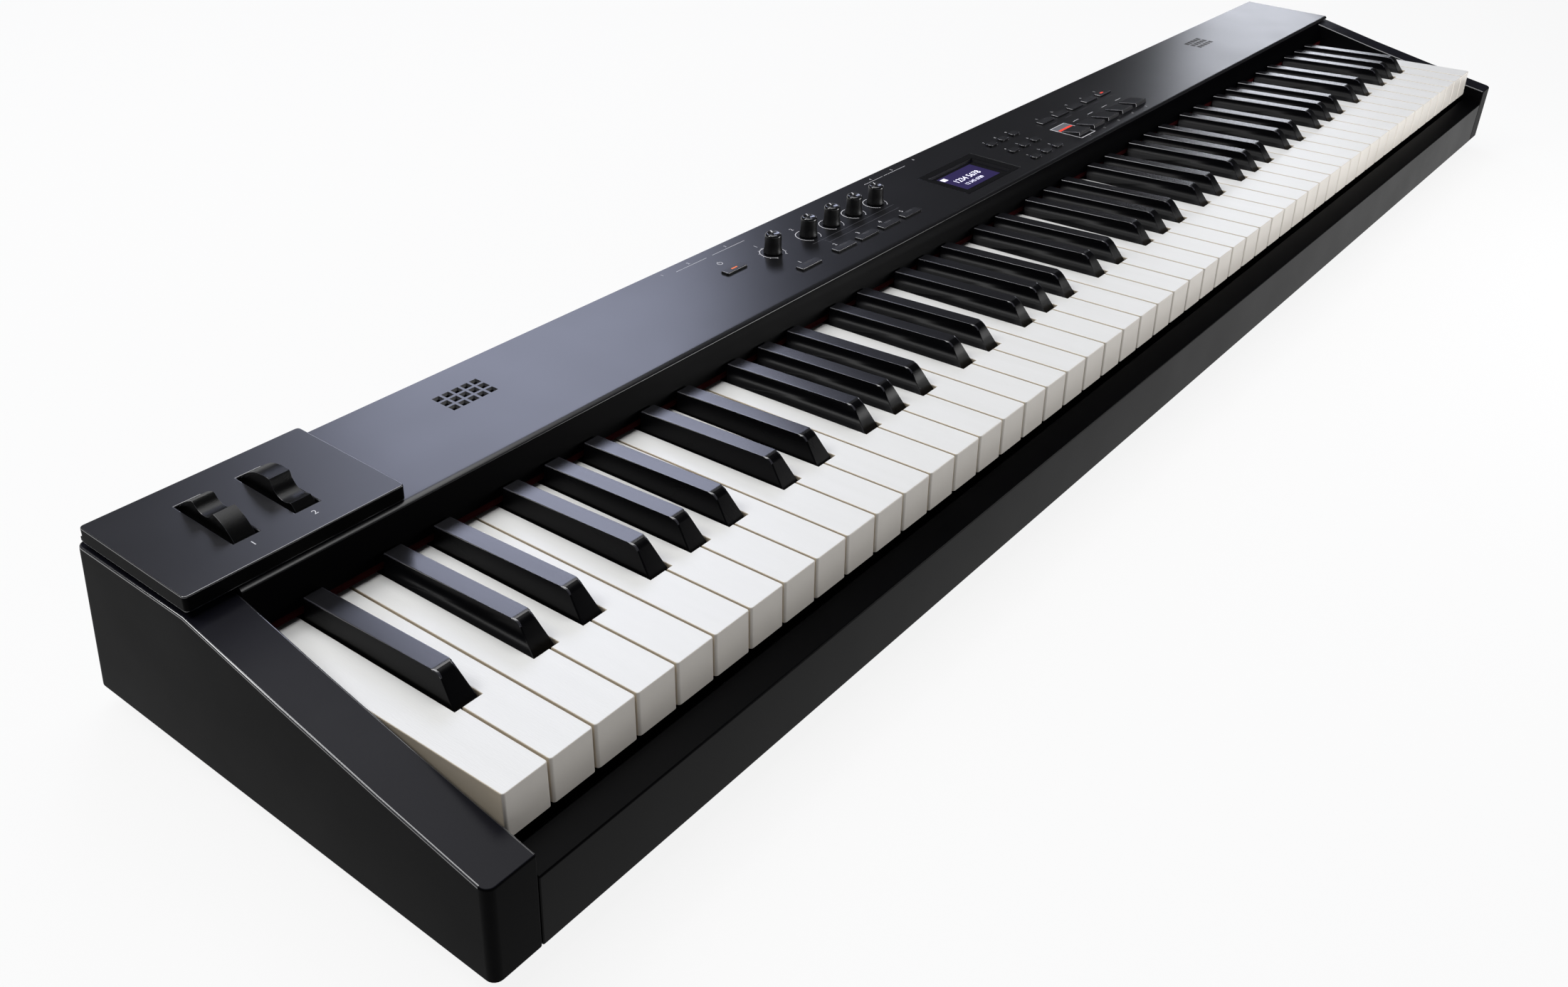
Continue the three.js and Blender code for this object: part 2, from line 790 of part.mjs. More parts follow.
// Key frame: base, front rib for the stop felt, middle rib for the contact board and two pivot rods

const pressedNoseHeight = keyFrontHeight - whiteFrontHeight - keyDip;
const stopFeltTop = pressedNoseHeight - stopFeltGap;
const stopFeltY = [keyFrontY + frameThickness, keyFrontY + frameThickness + stopFeltWidth];

function pivotWeb(back, drop, foot) {
  const pivot = keyboardPoint(back, drop);
  const half = frameWebThickness / 2;
  const bite = Math.asin(half / pivotRodRadius);
  const web = new THREE.Shape();
  web.moveTo(pivot.y - half, foot);
  web.lineTo(pivot.y + half, foot);
  web.absarc(pivot.y, pivot.z, pivotRodRadius, -Math.PI / 2 + bite, 1.5 * Math.PI - bite);
  return alongX(web, [-betweenBlocksX + fitGap, betweenBlocksX - fitGap], 12);
}

function keyFrame() {
  const foot = caseTopHeight + fitGap;
  const span = [-betweenBlocksX + fitGap, betweenBlocksX - fitGap];
  const blackPivot = keyboardPoint(blackPivotBack, blackPivotDrop);
  const base = box(span, [stopFeltY[0], blackPivot.y + frameThickness], [foot, foot + frameThickness]);
  const frontRib = box(
    span,
    [stopFeltY[0], stopFeltY[0] + frameRibThickness],
    [foot, stopFeltTop - stopFeltThickness - fitGap],
  );
  const middleRib = box(
    span,
    around(contactBoardY, frameRibThickness),
    [foot, contactBoardHeight - boardThickness - fitGap],
  );
  const whiteWeb = pivotWeb(whitePivotBack, whitePivotDrop, foot);
  const blackWeb = pivotWeb(blackPivotBack, blackPivotDrop, foot);
  return joined([base, frontRib, middleRib, whiteWeb, blackWeb]);
}

function stopFelt() {
  const span = [-betweenBlocksX + fitGap, betweenBlocksX - fitGap];
  return box(span, stopFeltY, [stopFeltTop - stopFeltThickness, stopFeltTop]);
}

function contactBoard() {
  const span = [-betweenBlocksX + fitGap, betweenBlocksX - fitGap];
  const z = [contactBoardHeight - boardThickness, contactBoardHeight];
  return box(span, around(contactBoardY, contactBoardDepth), z);
}

// Keys, drawn back from the key fronts and down from the key tops

const letters = ['a', 'b', 'c', 'd', 'e', 'f', 'g'];
const sharpOffsets = {
  a: aSharpOffset,
  c: cSharpOffset,
  d: dSharpOffset,
  f: fSharpOffset,
  g: gSharpOffset,
};
const barHalf = pivotBarSize / 2;

function letterOf(index) {
  return letters[index % letters.length];
}

// Centre of the black key that follows a white key, or null where there is none
function blackCentreAfter(index) {
  const offset = sharpOffsets[letterOf(index)];
  const isInside = index >= 0 && index + 1 < whiteKeyCount;
  return offset === undefined || !isInside ? null : (index + 1) * whiteKeyPitch + offset;
}

function whiteKeySpan(index) {
  return [index * whiteKeyPitch + whiteKeySeam / 2, (index + 1) * whiteKeyPitch - whiteKeySeam / 2];
}

// The groove in a pivot bar that drops over its rod, open below
function pivotGroove(x, back, drop) {
  const radius = pivotRodRadius + fitGap;
  const span = [x[0] - overrun, x[1] + overrun];
  const slot = box(span, [back - radius, back + radius], [-drop - barHalf - overrun, -drop]);
  return rodAlongX(radius, span, back, -drop, 12).add(slot);
}

function whiteKeys(indexes) {
  const tailEnd = whitePivotBack + barHalf;
  const barFoot = -whitePivotDrop - barHalf;
  const barTop = -whitePivotDrop + barHalf;
  const section = outline([
    [0, 0],
    [0, -whiteFrontHeight],
    [whiteNoseDepth, -whiteFrontHeight],
    [whiteNoseDepth, -whiteBodyDepth],
    [whitePivotBack - pivotBarSize, -whiteBodyDepth],
    [whitePivotBack - barHalf, barFoot],
    [tailEnd, barFoot],
    [tailEnd, -whiteTailStep],
    [whiteTopLength, -whiteTailStep],
    [whiteTopLength, 0],
  ]);
  const keys = indexes.map((index) => {
    let key = alongX(section, whiteKeySpan(index));
    for (const centre of [blackCentreAfter(index - 1), blackCentreAfter(index)]) {
      if (centre !== null) {
        const channel = around(centre, blackChannelWidth);
        key = key.subtract(box(channel, [whiteHeadLength, tailEnd + overrun], [barTop, overrun]));
      }
    }
    return key;
  });
  const ends = [whiteKeySpan(indexes[0])[0], whiteKeySpan(indexes.at(-1))[1]];
  const bar = box(ends, [whitePivotBack - barHalf, tailEnd], [barFoot, barTop]);
  return joined([...keys, bar]).subtract(pivotGroove(ends, whitePivotBack, whitePivotDrop));
}

// A black cap narrows upwards and slopes back at its front
function blackCap(centre) {
  const front = whiteHeadLength + blackFrontGap;
  const corners = (y, z, width) => [[centre - width / 2, y, z], [centre + width / 2, y, z]];
  const points = [
    ...corners(front, -blackLeverDrop, blackBaseWidth),
    ...corners(blackRearLength, -blackLeverDrop, blackBaseWidth),
    ...corners(front + blackFrontSlope, blackTopRise, blackTopWidth),
    ...corners(blackRearLength, blackTopRise - blackTopFall, blackTopWidth),
  ];
  const geometry = new THREE.BufferGeometry();
  geometry.setAttribute('position', new THREE.Float32BufferAttribute(points.flat(), 3));
  geometry.setIndex([
    0, 3, 1, 0, 2, 3,
    4, 5, 7, 4, 7, 6,
    0, 1, 5, 0, 5, 4,
    3, 2, 6, 3, 6, 7,
    1, 3, 7, 1, 7, 5,
    2, 0, 4, 2, 4, 6,
  ]);
  return solidOf(geometry);
}

function blackKeys(centres) {
  const front = whiteHeadLength + blackFrontGap;
  const barEnd = blackPivotBack + barHalf;
  const barFoot = -blackPivotDrop - barHalf;
  const leverFoot = -blackLeverDrop - blackLeverDepth;
  const section = outline([
    [front, -blackLeverDrop],
    [front, leverFoot],
    [blackPivotBack - pivotBarSize, leverFoot],
    [blackPivotBack - barHalf, barFoot],
    [barEnd, barFoot],
    [barEnd, -blackLeverDrop],
  ]);
  const keys = centres.map((centre) => {
    const lever = alongX(section, around(centre, blackBaseWidth));
    return lever.add(blackCap(centre));
  });
  const ends = [centres[0] - blackBaseWidth / 2, centres.at(-1) + blackBaseWidth / 2];
  const bar = box(ends, [blackPivotBack - barHalf, barEnd], [barFoot, -blackLeverDrop]);
  return joined([...keys, bar]).subtract(pivotGroove(ends, blackPivotBack, blackPivotDrop));
}

// Octaves are counted from C, and the octave around the middle has twelve single keys
const firstC = 2;
const lettersInOctave = letters.length;
const singleOctave = 4;
const lastOctave = 7;

function octaveIndexes(octave) {
  if (octave === 0) return [0, 1];
  const start = firstC + (octave - 1) * lettersInOctave;
  const count = octave === lastOctave ? lettersInOctave + 1 : lettersInOctave;
  return Array.from({ length: count }, (_, step) => start + step);
}

for (let octave = 0; octave <= lastOctave; octave += 1) {
  const whites = octaveIndexes(octave);
  const blacks = whites.filter((index) => blackCentreAfter(index) !== null);
  if (octave === singleOctave) {
    for (const index of whites) {
      place(`key_${letterOf(index)}${octave}`, whiteKeys([index]), 'whiteKey', keyboard);
    }
    for (const index of blacks) {
      const name = `key_${letterOf(index)}_sharp_${octave}`;
      place(name, blackKeys([blackCentreAfter(index)]), 'blackKey', keyboard);
    }
  } else {
    place(`white_keys_octave_${octave}`, whiteKeys(whites), 'whiteKey', keyboard);
    place(`black_keys_octave_${octave}`, blackKeys(blacks.map(blackCentreAfter)), 'blackKey', keyboard);
  }
}

place('bottom_case', bottomCase(), 'underside');
place('left_end_block', endBlock(-1), 'satinBody');
place('right_end_block', endBlock(1), 'satinBody');
place('front_rail', frontRail(), 'railBlack');
place('rear_panel', rearPanel(), 'satinBody');
place('top_panel', topPanel(), 'panelMetal');
place('wheel_panel', wheelPanel(), 'panelMetal');
place('key_felt', keyFelt(), 'felt');
place('key_frame', keyFrame(), 'steel');
place('key_stop_felt', stopFelt(), 'felt');
place('key_contact_board', contactBoard(), 'board');
place('wheel_bracket', wheelBracket(), 'underside');
placeWheel('pitch_wheel', wheelXs[0], 0);
placeWheel('modulation_wheel', wheelXs[1], modulationRestAngle);
place('volume_knob', knob(volumeKnobX), 'control');
for (let index = 0; index < controlKnobCount; index += 1) {
  place(`control_knob_${index + 1}`, knob(columnX(index)), 'control');
}
place(
  'power_button',
  buttonStrip([[powerButtonX, powerButtonY]], powerButtonWidth, powerButtonDepth, buttonRise),
  'control',
);
place(
  'function_button_strip',
  buttonStrip(functionButtons, functionButtonWidth, functionButtonDepth, buttonRise),
  'control',
);
place(
  'navigation_keypad',
  buttonStrip(navigationButtons, navigationWidth, navigationDepth, buttonRise),
  'control',
);
place(
  'menu_button_strip',
  buttonStrip(menuButtons, menuButtonWidth, menuButtonDepth, menuButtonRise),
  'control',
);
place('tone_pad_strip', tonePadStrip(), 'control');
place('display_window', displayWindow(), 'window');
place('display_screen', displayScreen(), 'screen');
place('main_board', mainBoard(), 'board');
place('socket_board', socketBoard(), 'board');
place('left_speaker', speaker(-grilleX), 'rubber');
place('right_speaker', speaker(grilleX), 'rubber');
for (const [row, sideY] of [['front', -1], ['rear', 1]]) {
  for (const [side, sideX] of [['left', -1], ['right', 1]]) {
    place(`${row}_${side}_foot`, foot(sideX, sideY), 'rubber');
  }
}

export default piano;
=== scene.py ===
# %% [markdown]
# # A stage piano, dressed around its frame
# The CAD model is done: its bodies, hinges and sizes are fixed. This script gives every part its
# visible form: rounded edges, separate keys, printed marks, lamps and finishes. Each piece rides
# on the CAD body that carries it, so keys dip, wheels turn and buttons press in any pose.

# %% Load the frame
import json
import math
import bmesh
import bpy
from mathutils import Matrix, Vector


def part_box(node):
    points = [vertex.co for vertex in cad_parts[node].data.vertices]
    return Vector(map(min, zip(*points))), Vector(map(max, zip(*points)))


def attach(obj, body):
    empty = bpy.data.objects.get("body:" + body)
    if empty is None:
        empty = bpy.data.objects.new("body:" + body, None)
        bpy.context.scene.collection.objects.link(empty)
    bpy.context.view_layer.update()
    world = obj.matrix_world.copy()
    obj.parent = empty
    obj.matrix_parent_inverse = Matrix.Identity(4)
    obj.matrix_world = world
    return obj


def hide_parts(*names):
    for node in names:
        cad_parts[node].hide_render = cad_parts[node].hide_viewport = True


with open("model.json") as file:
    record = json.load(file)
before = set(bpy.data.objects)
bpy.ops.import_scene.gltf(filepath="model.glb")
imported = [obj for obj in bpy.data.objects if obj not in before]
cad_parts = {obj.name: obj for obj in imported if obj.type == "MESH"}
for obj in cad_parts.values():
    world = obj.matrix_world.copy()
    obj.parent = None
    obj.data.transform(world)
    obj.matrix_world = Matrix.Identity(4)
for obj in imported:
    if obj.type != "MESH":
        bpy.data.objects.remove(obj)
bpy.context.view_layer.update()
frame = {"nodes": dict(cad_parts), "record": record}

scene = bpy.context.scene
body_of_node = {
    node: body
    for body, nodes in frame["record"]["behaviour"]["bodies"].items()
    for node in nodes
}

# %% [markdown]
# ## The camera
# The photograph is taken from the player's left, about thirty degrees above the panel. Place and
# lens were found by matching key corners in the picture with those of the model. A camera placed
# by eye goes wrong at the far end of the long row of keys.

# %% Place the camera
CAMERA_PLACE = (-0.85462, -0.40426, 0.44770)
CAMERA_TURN = (59.3957, -2.0429, -52.1526)
camera_data = bpy.data.cameras.new("camera")
camera_data.sensor_width = 36
camera_data.lens = 33.099
camera_data.shift_x = 0.00786
camera_data.shift_y = -0.03794
camera_data.clip_end = 100
camera = bpy.data.objects.new("camera", camera_data)
camera.location = CAMERA_PLACE
camera.rotation_euler = [math.radians(a) for a in CAMERA_TURN]
scene.collection.objects.link(camera)
scene.camera = camera
print("camera at", [round(v, 3) for v in camera.location])

# %% [markdown]
# ## Finishes
# Moulded plastic and painted metal are never one even colour. Here a coarse noise shifts colour
# and gloss a little, and a fine one, stretched along the grain, drives the bump. Pictures wrapped
# round the parts would do too, but noise in object space has no seams. Colours are written for
# the screen, as RRGGBB. A shader adds up light, so they are made linear first.

# %% Colours and inputs
def linear(hex_colour):
    """A colour written as RRGGBB, as the linear values that a shader wants."""
    parts = [int(hex_colour[i:i + 2], 16) / 255 for i in (0, 2, 4)]
    return [p / 12.92 if p <= 0.04045 else ((p + 0.055) / 1.055) ** 2.4 for p in parts] + [1]


def set_inputs(node, **values):
    """Sets a node's inputs. An underscore stands for a space in the name of an input."""
    for name, value in values.items():
        node.inputs[name.replace("_", " ")].default_value = value
    return node


print("middle grey in linear light:", round(linear("808080")[0], 3))

# %% A finish from noise
MICRON = 0.000001


def finish(name, colour, other, roughness, specular, grain, depth, metallic=0.0, coat=0.0,
           coat_roughness=0.1, stretch=(1, 1, 1), mottle=25.0, gloss_spread=0.05, glow=None,
           glow_strength=0.0):
    """A Principled finish with mottled colour and gloss, and a bump of a depth in microns."""
    made = bpy.data.materials.new(name)
    made.use_nodes = True
    nodes, link = made.node_tree.nodes, made.node_tree.links.new
    shader = set_inputs(nodes["Principled BSDF"], Metallic=metallic, Coat_Weight=coat,
                        Specular_IOR_Level=specular, Coat_Roughness=coat_roughness)
    if glow:
        set_inputs(shader, Emission_Color=linear(glow), Emission_Strength=glow_strength)
    place = nodes.new("ShaderNodeTexCoord")
    mapping = set_inputs(nodes.new("ShaderNodeMapping"), Scale=stretch)
    coarse = set_inputs(nodes.new("ShaderNodeTexNoise"), Scale=mottle, Detail=3)
    fine = set_inputs(nodes.new("ShaderNodeTexNoise"), Scale=grain, Detail=4)
    mix = nodes.new("ShaderNodeMix")
    mix.data_type = "RGBA"
    set_inputs(mix, A=linear(colour), B=linear(other))
    gloss = set_inputs(nodes.new("ShaderNodeMapRange"), To_Min=roughness - gloss_spread,
                       To_Max=roughness + gloss_spread)
    bump = set_inputs(nodes.new("ShaderNodeBump"), Strength=1.0, Distance=depth * MICRON)
    link(place.outputs["Object"], mapping.inputs["Vector"])
    link(mapping.outputs["Vector"], coarse.inputs["Vector"])
    link(mapping.outputs["Vector"], fine.inputs["Vector"])
    link(coarse.outputs["Fac"], mix.inputs["Factor"])
    link(coarse.outputs["Fac"], gloss.inputs["Value"])
    link(fine.outputs["Fac"], bump.inputs["Height"])
    link(mix.outputs["Result"], shader.inputs["Base Color"])
    link(gloss.outputs["Result"], shader.inputs["Roughness"])
    link(bump.outputs["Normal"], shader.inputs["Normal"])
    return made


print("a grain of 20 microns is", 20 * MICRON, "units deep")

# %% [markdown]
# ## Paints and plastics of the body
# Black is seen by what it mirrors: the painted panel mirrors a lot, the rail and the moulded ends
# hardly at all. One black for all would melt the parts into one dark shape. Some lines are
# painted light or shade: the fallboard face is a darker copy of the panel as painted shade, the
# rims are a paler grey as a painted highlight, and the tops of the end blocks and of the wheel
# panel are paler copies as painted light. Each line gives two colours, the roughness, how much it
# mirrors, and the scale and depth of its grain.

# %% Finishes of the body
body_plastic = finish("body_plastic", "070708", "0a0a0b", 0.4, 0.015, 2600, 12)
rail_paint = finish("rail_paint", "030304", "050506", 0.34, 0.035, 2600, 12)
panel_paint = finish("panel_paint", "0e0e11", "121215", 0.285, 0.52, 2400, 3,
    gloss_spread=0.02)
# Painted shade: the fallboard face is a darker, duller copy of the panel paint.
fallboard_painted_shade = finish("fallboard_painted_shade", "020203", "030304", 0.35, 0.02, 2400, 10)
# Painted highlight: rims are a paler grey than the black they edge, so they read as bright lines.
edge_rim_painted_highlight = finish("edge_rim_painted_highlight", "2a2a2e", "323237", 0.22, 0.9, 2400, 4,
    coat=1.0, coat_roughness=0.12)
# Painted light: the up-turned faces of the end blocks are a paler, bluer copy of the body black.
block_top_painted_light = finish("block_top_painted_light", "101017", "14141b", 0.3, 0.085, 2600, 12)
# Painted light: the top of the wheel panel is a paler copy of the body black, and its sides keep
# body_plastic.
wheel_panel_plastic = finish("wheel_panel_plastic", "1d1d20", "212125", 0.34, 0.5, 2400, 5,
    gloss_spread=0.03)
rear_paint = finish("rear_paint", "141416", "1a1a1d", 0.5, 0.2, 1800, 20)
key_felt_cloth = finish("key_felt_cloth", "240406", "360709", 0.95, 0.05, 5200, 400,
    mottle=900)
print("finishes so far:", len(bpy.data.materials))

# %% [markdown]
# ## Ivory and ebony
# White keys carry a fine grain along their length, and their sides and fronts are painted darker
# and warmer than their tops, as painted shade. Black keys are satin; their upper edges are
# painted a paler grey as a painted highlight, and their sides are a darker, duller copy as
# painted shade. One finish for a whole key would leave those bright lines to chance.

# %% Finishes of the keys
ivory_grain = finish("ivory_grain", "e3e3e1", "e9e9e8", 0.38, 0.5, 700, 60,
    stretch=(3, 0.35, 1), mottle=60)
# Painted shade: the sides and fronts are darker, warmer copies of the top's ivory.
ivory_side_painted_shade = finish("ivory_side_painted_shade", "c9bda9", "d3c8b5", 0.32, 0.5, 500, 10)
ivory_front_painted_shade = finish("ivory_front_painted_shade", "d0cac2", "d9d4cc", 0.3, 0.5, 500, 10)
ebony_grain = finish("ebony_grain", "0b0b0e", "101014", 0.26, 0.66, 3000, 4,
    stretch=(3, 0.3, 1), gloss_spread=0.03)
# Painted highlight: the upper rims of the black keys and the rims of the controls are a paler
# grey.
ebony_rim_painted_highlight = finish("ebony_rim_painted_highlight", "2c2c32", "36363c", 0.2, 0.9, 3000, 4,
    coat=1.0, coat_roughness=0.12)
# Painted shade: the sides of the black keys are a darker, duller copy of the top.
ebony_side_painted_shade = finish("ebony_side_painted_shade", "050507", "08080a", 0.28, 0.08, 3000, 8, stretch=(3, 0.3, 1))
print("finishes so far:", len(bpy.data.materials))

# %% [markdown]
# ## What the hands touch
# The wheels are soft rubber, the knobs have a turned cap with fine circles, and the buttons
# and pads are moulded plastic. A stretched noise stands for turned and brushed surfaces, since
# real circles would need millions of faces.

# %% Finishes of the controls
wheel_rubber = finish("wheel_rubber", "040405", "080809", 0.3, 0.24, 2600, 70)
knob_plastic = finish("knob_plastic", "0e0e10", "161618", 0.35, 0.5, 2000, 20)
knob_cap = finish("knob_cap", "141416", "1c1c20", 0.16, 0.7, 300, 10, stretch=(1, 12, 1))
button_plastic = finish("button_plastic", "111113", "19191c", 0.35, 0.5, 2200, 20)
pad_plastic = finish("pad_plastic", "141416", "1c1c20", 0.33, 0.5, 2200, 20)
silver_plate = finish("silver_plate", "a9abb2", "c4c6cc", 0.3, 0.5, 400, 20,
    metallic=0.75, stretch=(1, 14, 1))
print("finishes so far:", len(bpy.data.materials))

# %% [markdown]
# ## Ink, light and the inside
# Ink lies on the panel without gloss. The screen and the lamps glow, but too weakly to light
# anything else, as in a bright room. The rest hardly shows: rubber, steel, circuit board, speaker
# paper and brass.

# %% Finishes of print, lamps and inner parts
white_ink = finish("white_ink", "c9c9cc", "dadadd", 0.6, 0.5, 3000, 5)
grey_ink = finish("grey_ink", "3f3f44", "48484d", 0.6, 0.5, 3000, 5)
# Painted shade: a near-black felt for the key stop felt, which lies in shade under the key
# fronts.
stop_felt_painted_shade = finish("stop_felt_painted_shade", "060606", "0c0c0c", 0.95, 0.1, 5200, 200, mottle=900)
window_glass = finish("window_glass", "0a0a0c", "0d0d10", 0.2, 0.3, 100, 2)
# Painted light: the recess walls are paler than the bezel.
recess_wall_painted_light = finish("recess_wall_painted_light", "2b2b2d", "353537", 0.4, 0.5, 900, 10)
screen_glow = finish("screen_glow", "16122c", "1a1634", 0.3, 0.2, 900, 20,
    glow="342a5c", glow_strength=0.55, mottle=60)
digit_glow = finish("digit_glow", "e6e6ff", "ffffff", 0.3, 0.5, 900, 20,
    glow="e8e6ff", glow_strength=0.9)
red_lamp = finish("red_lamp", "b8281e", "c83a2e", 0.3, 0.5, 900, 20,
    glow="ff4a34", glow_strength=0.55)
orange_lamp = finish("orange_lamp", "8a3a10", "a04a14", 0.3, 0.5, 900, 20,
    glow="ff7a2a", glow_strength=0.7)
dark_slot = finish("dark_slot", "050506", "080809", 0.6, 0.5, 900, 20)
foot_rubber = finish("foot_rubber", "101011", "1a1a1b", 0.9, 0.5, 1500, 100)
steel = finish("steel", "8a8d92", "a5a8ad", 0.35, 0.5, 600, 30,
    metallic=0.9, stretch=(0.3, 6, 1))
board_green = finish("board_green", "14381f", "1c4a29", 0.45, 0.5, 900, 20, mottle=120)
speaker_cone = finish("speaker_cone", "040404", "070707", 0.9, 0.05, 1200, 200)
socket_black = finish("socket_black", "0c0c0d", "121214", 0.45, 0.5, 900, 20)
brass = finish("brass", "b99a5a", "cbb06c", 0.3, 0.5, 900, 20, metallic=0.95)
print("finishes:", len(bpy.data.materials))

# %% [markdown]
# ## From a bmesh to a piece
# Sizes are in millimetres, as in the CAD source, and each mesh is scaled to metres at the end.
# A bevelled edge only looks right when its big neighbours stay flat, so every piece gets a
# Weighted Normal modifier. Denser meshes would hide the fault too, but cost far more faces.

# %% Make a piece
MM = 0.001


def make_piece(bm, name, node, slot, *finishes, replaces=False, sharp=38):
    """Turns a bmesh drawn in millimetres into a piece that rides with a CAD node's body."""
    bmesh.ops.scale(bm, vec=(MM, MM, MM), verts=bm.verts)
    mesh = bpy.data.meshes.new(name)
    bm.to_mesh(mesh)
    bm.free()
    for one in finishes:
        mesh.materials.append(one)
    mesh.shade_smooth()
    mesh.set_sharp_from_angle(angle=math.radians(sharp))
    piece = bpy.data.objects.new(name, mesh)
    scene.collection.objects.link(piece)
    weighted = piece.modifiers.new("flat_faces_rule", "WEIGHTED_NORMAL")
    weighted.keep_sharp = True
    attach(piece, body_of_node[node])
    if replaces:
        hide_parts(node)
    return piece


def tell(piece):
    print(piece.name, "faces:", len(piece.data.polygons))


print("a key of 204 mm is", 204 * MM, "units long in Blender")

# %% [markdown]
# ## Bevels and their finishes
# No edge of a real product is perfectly sharp, and its small radius catches the light. A Bevel
# modifier rounds every edge alike. The operator takes chosen edges and hands back the new faces,
# so a rim can have its own radius and finish; most rims get a paler grey, which is a painted
# highlight.

# %% Round edges and paint faces
TINY = 0.1


def round_edges(bm, edges, radius, segments=3):
    """Rounds edges, as a mould or a sheet-metal bend does, and gives back the new faces."""
    made = bmesh.ops.bevel(bm, geom=list(edges), offset=radius, offset_type="OFFSET",
                           affect="EDGES", segments=segments, profile=0.5, material=-1,
                           clamp_overlap=True)
    return made["faces"]


def sharp_edges(bm, least=30):
    """The edges where two faces meet at more than an angle in degrees."""
    limit = math.radians(least)
    return [e for e in bm.edges if len(e.link_faces) == 2 and e.calc_face_angle(0) > limit]


def edges_above(bm, height, least=60):
    """The sharp edges that lie wholly above a height."""
    return [e for e in sharp_edges(bm, least) if min(v.co.z for v in e.verts) > height]


def outward(bm):
    bmesh.ops.recalc_face_normals(bm, faces=bm.faces)


def paint(bm, rims, rule=lambda f, rim: int(rim)):
    """Gives each face the finish that a rule picks from the face and whether it is a rim."""
    bm.normal_update()
    kept = {f for f in rims if f.is_valid}
    for f in bm.faces:
        f.material_index = rule(f, f in kept)


print("a level edge may be uneven by", TINY, "mm")

# %% [markdown]
# ## Boxes, extrusions and cuts
# Most controls begin as a box. Then faces are pulled out along a direction, or a plane cuts
# the shape where it shall change. Both keep the mesh closed, which a list of hand-written
# corners does not promise.

# %% Boxes, extrusions and cuts
def move_all(bm, move):
    bmesh.ops.translate(bm, vec=move, verts=bm.verts)


def block(x, y, z):
    """A bmesh box between two values along each axis."""
    bm = bmesh.new()
    bmesh.ops.create_cube(bm, size=1)
    size = (x[1] - x[0], y[1] - y[0], z[1] - z[0])
    middle = ((x[0] + x[1]) / 2, (y[0] + y[1]) / 2, (z[0] + z[1]) / 2)
    bmesh.ops.scale(bm, vec=size, verts=bm.verts)
    move_all(bm, middle)
    return bm


def rounded_block(x, y, z, radius=0.4, segments=2):
    bm = block(x, y, z)
    round_edges(bm, bm.edges[:], radius, segments)
    return bm


def extrude_by(bm, faces, move, keep=False):
    """Extrudes faces by a vector, and can keep the old ones, as a flat shape needs."""
    grown = bmesh.ops.extrude_face_region(bm, geom=faces, use_keep_orig=keep)
    moved = [v for v in grown["geom"] if isinstance(v, bmesh.types.BMVert)]
    bmesh.ops.translate(bm, vec=move, verts=moved)


def cut(bm, point, normal, clear=False):
    """Cuts every face that a plane crosses, and can clear what lies beyond it."""
    bmesh.ops.bisect_plane(bm, geom=bm.verts[:] + bm.edges[:] + bm.faces[:], plane_co=point,
                           plane_no=normal, clear_outer=clear)


sample = rounded_block((0, 10), (0, 10), (0, 10))
print("faces of a rounded box:", len(sample.faces))

# %% [markdown]
# ## Folded sheet and moulded shells
# The rails, panels and boards have the right shape in the CAD model, but their razor-sharp edges
# never catch the light. Drawn again, they could drift from the CAD. A merged copy, with its
# triangles joined into flat faces, keeps every size and can be bevelled.

# %% A rounded copy of a CAD node
def cad_copy(node):
    """A merged bmesh copy of a CAD node, in millimetres, with its flat faces made whole."""
    bm = bmesh.new()
    bm.from_mesh(frame["nodes"][node].data)
    bmesh.ops.scale(bm, vec=(1 / MM, 1 / MM, 1 / MM), verts=bm.verts)
    bmesh.ops.remove_doubles(bm, verts=bm.verts, dist=0.01)
    bmesh.ops.dissolve_limit(bm, angle_limit=math.radians(0.6), verts=bm.verts[:],
                             edges=bm.edges[:], delimit={"NORMAL"})
    outward(bm)
    return bm


def rounded_copy(node, name, slot, radius, made, segments=2, sharp=38):
    bm = cad_copy(node)
    round_edges(bm, sharp_edges(bm), radius, segments)
    return make_piece(bm, name, node, slot, made, replaces=True, sharp=sharp)


rounded_copy("front_rail", "front_rail_paint", "rail_metal", 0.8, rail_paint, segments=3)
rounded_copy("bottom_case", "bottom_tray", "case_metal", 0.5, rear_paint)
rounded_copy("rear_panel", "rear_panel_paint", "case_metal", 0.5, rear_paint)
rounded_copy("key_felt", "key_felt_strip", "key_felt", 0.5, key_felt_cloth)
rounded_copy("wheel_bracket", "wheel_cradle", "inner_plastic", 0.3, dark_slot)
rounded_copy("socket_board", "socket_board_plate", "socket_plastic", 0.25, rear_paint,
             segments=1, sharp=15)
rounded_copy("left_speaker", "left_speaker_cone", "speaker_plastic", 0.3, speaker_cone)
rounded_copy("right_speaker", "right_speaker_cone", "speaker_plastic", 0.3, speaker_cone)

# %% [markdown]
# ## The top panel
# The panel is one sheet, bent down at the front over the tails of the keys to make the fallboard.
# A bend in sheet metal is never sharp: here its radius is four millimetres. So this edge is
# rounded first and the rims of the openings after it. One radius for all would sharpen the bend
# or eat up the bars of the grilles.

# %% Top panel
BEND = 4.0
PANEL_RIM = 0.5


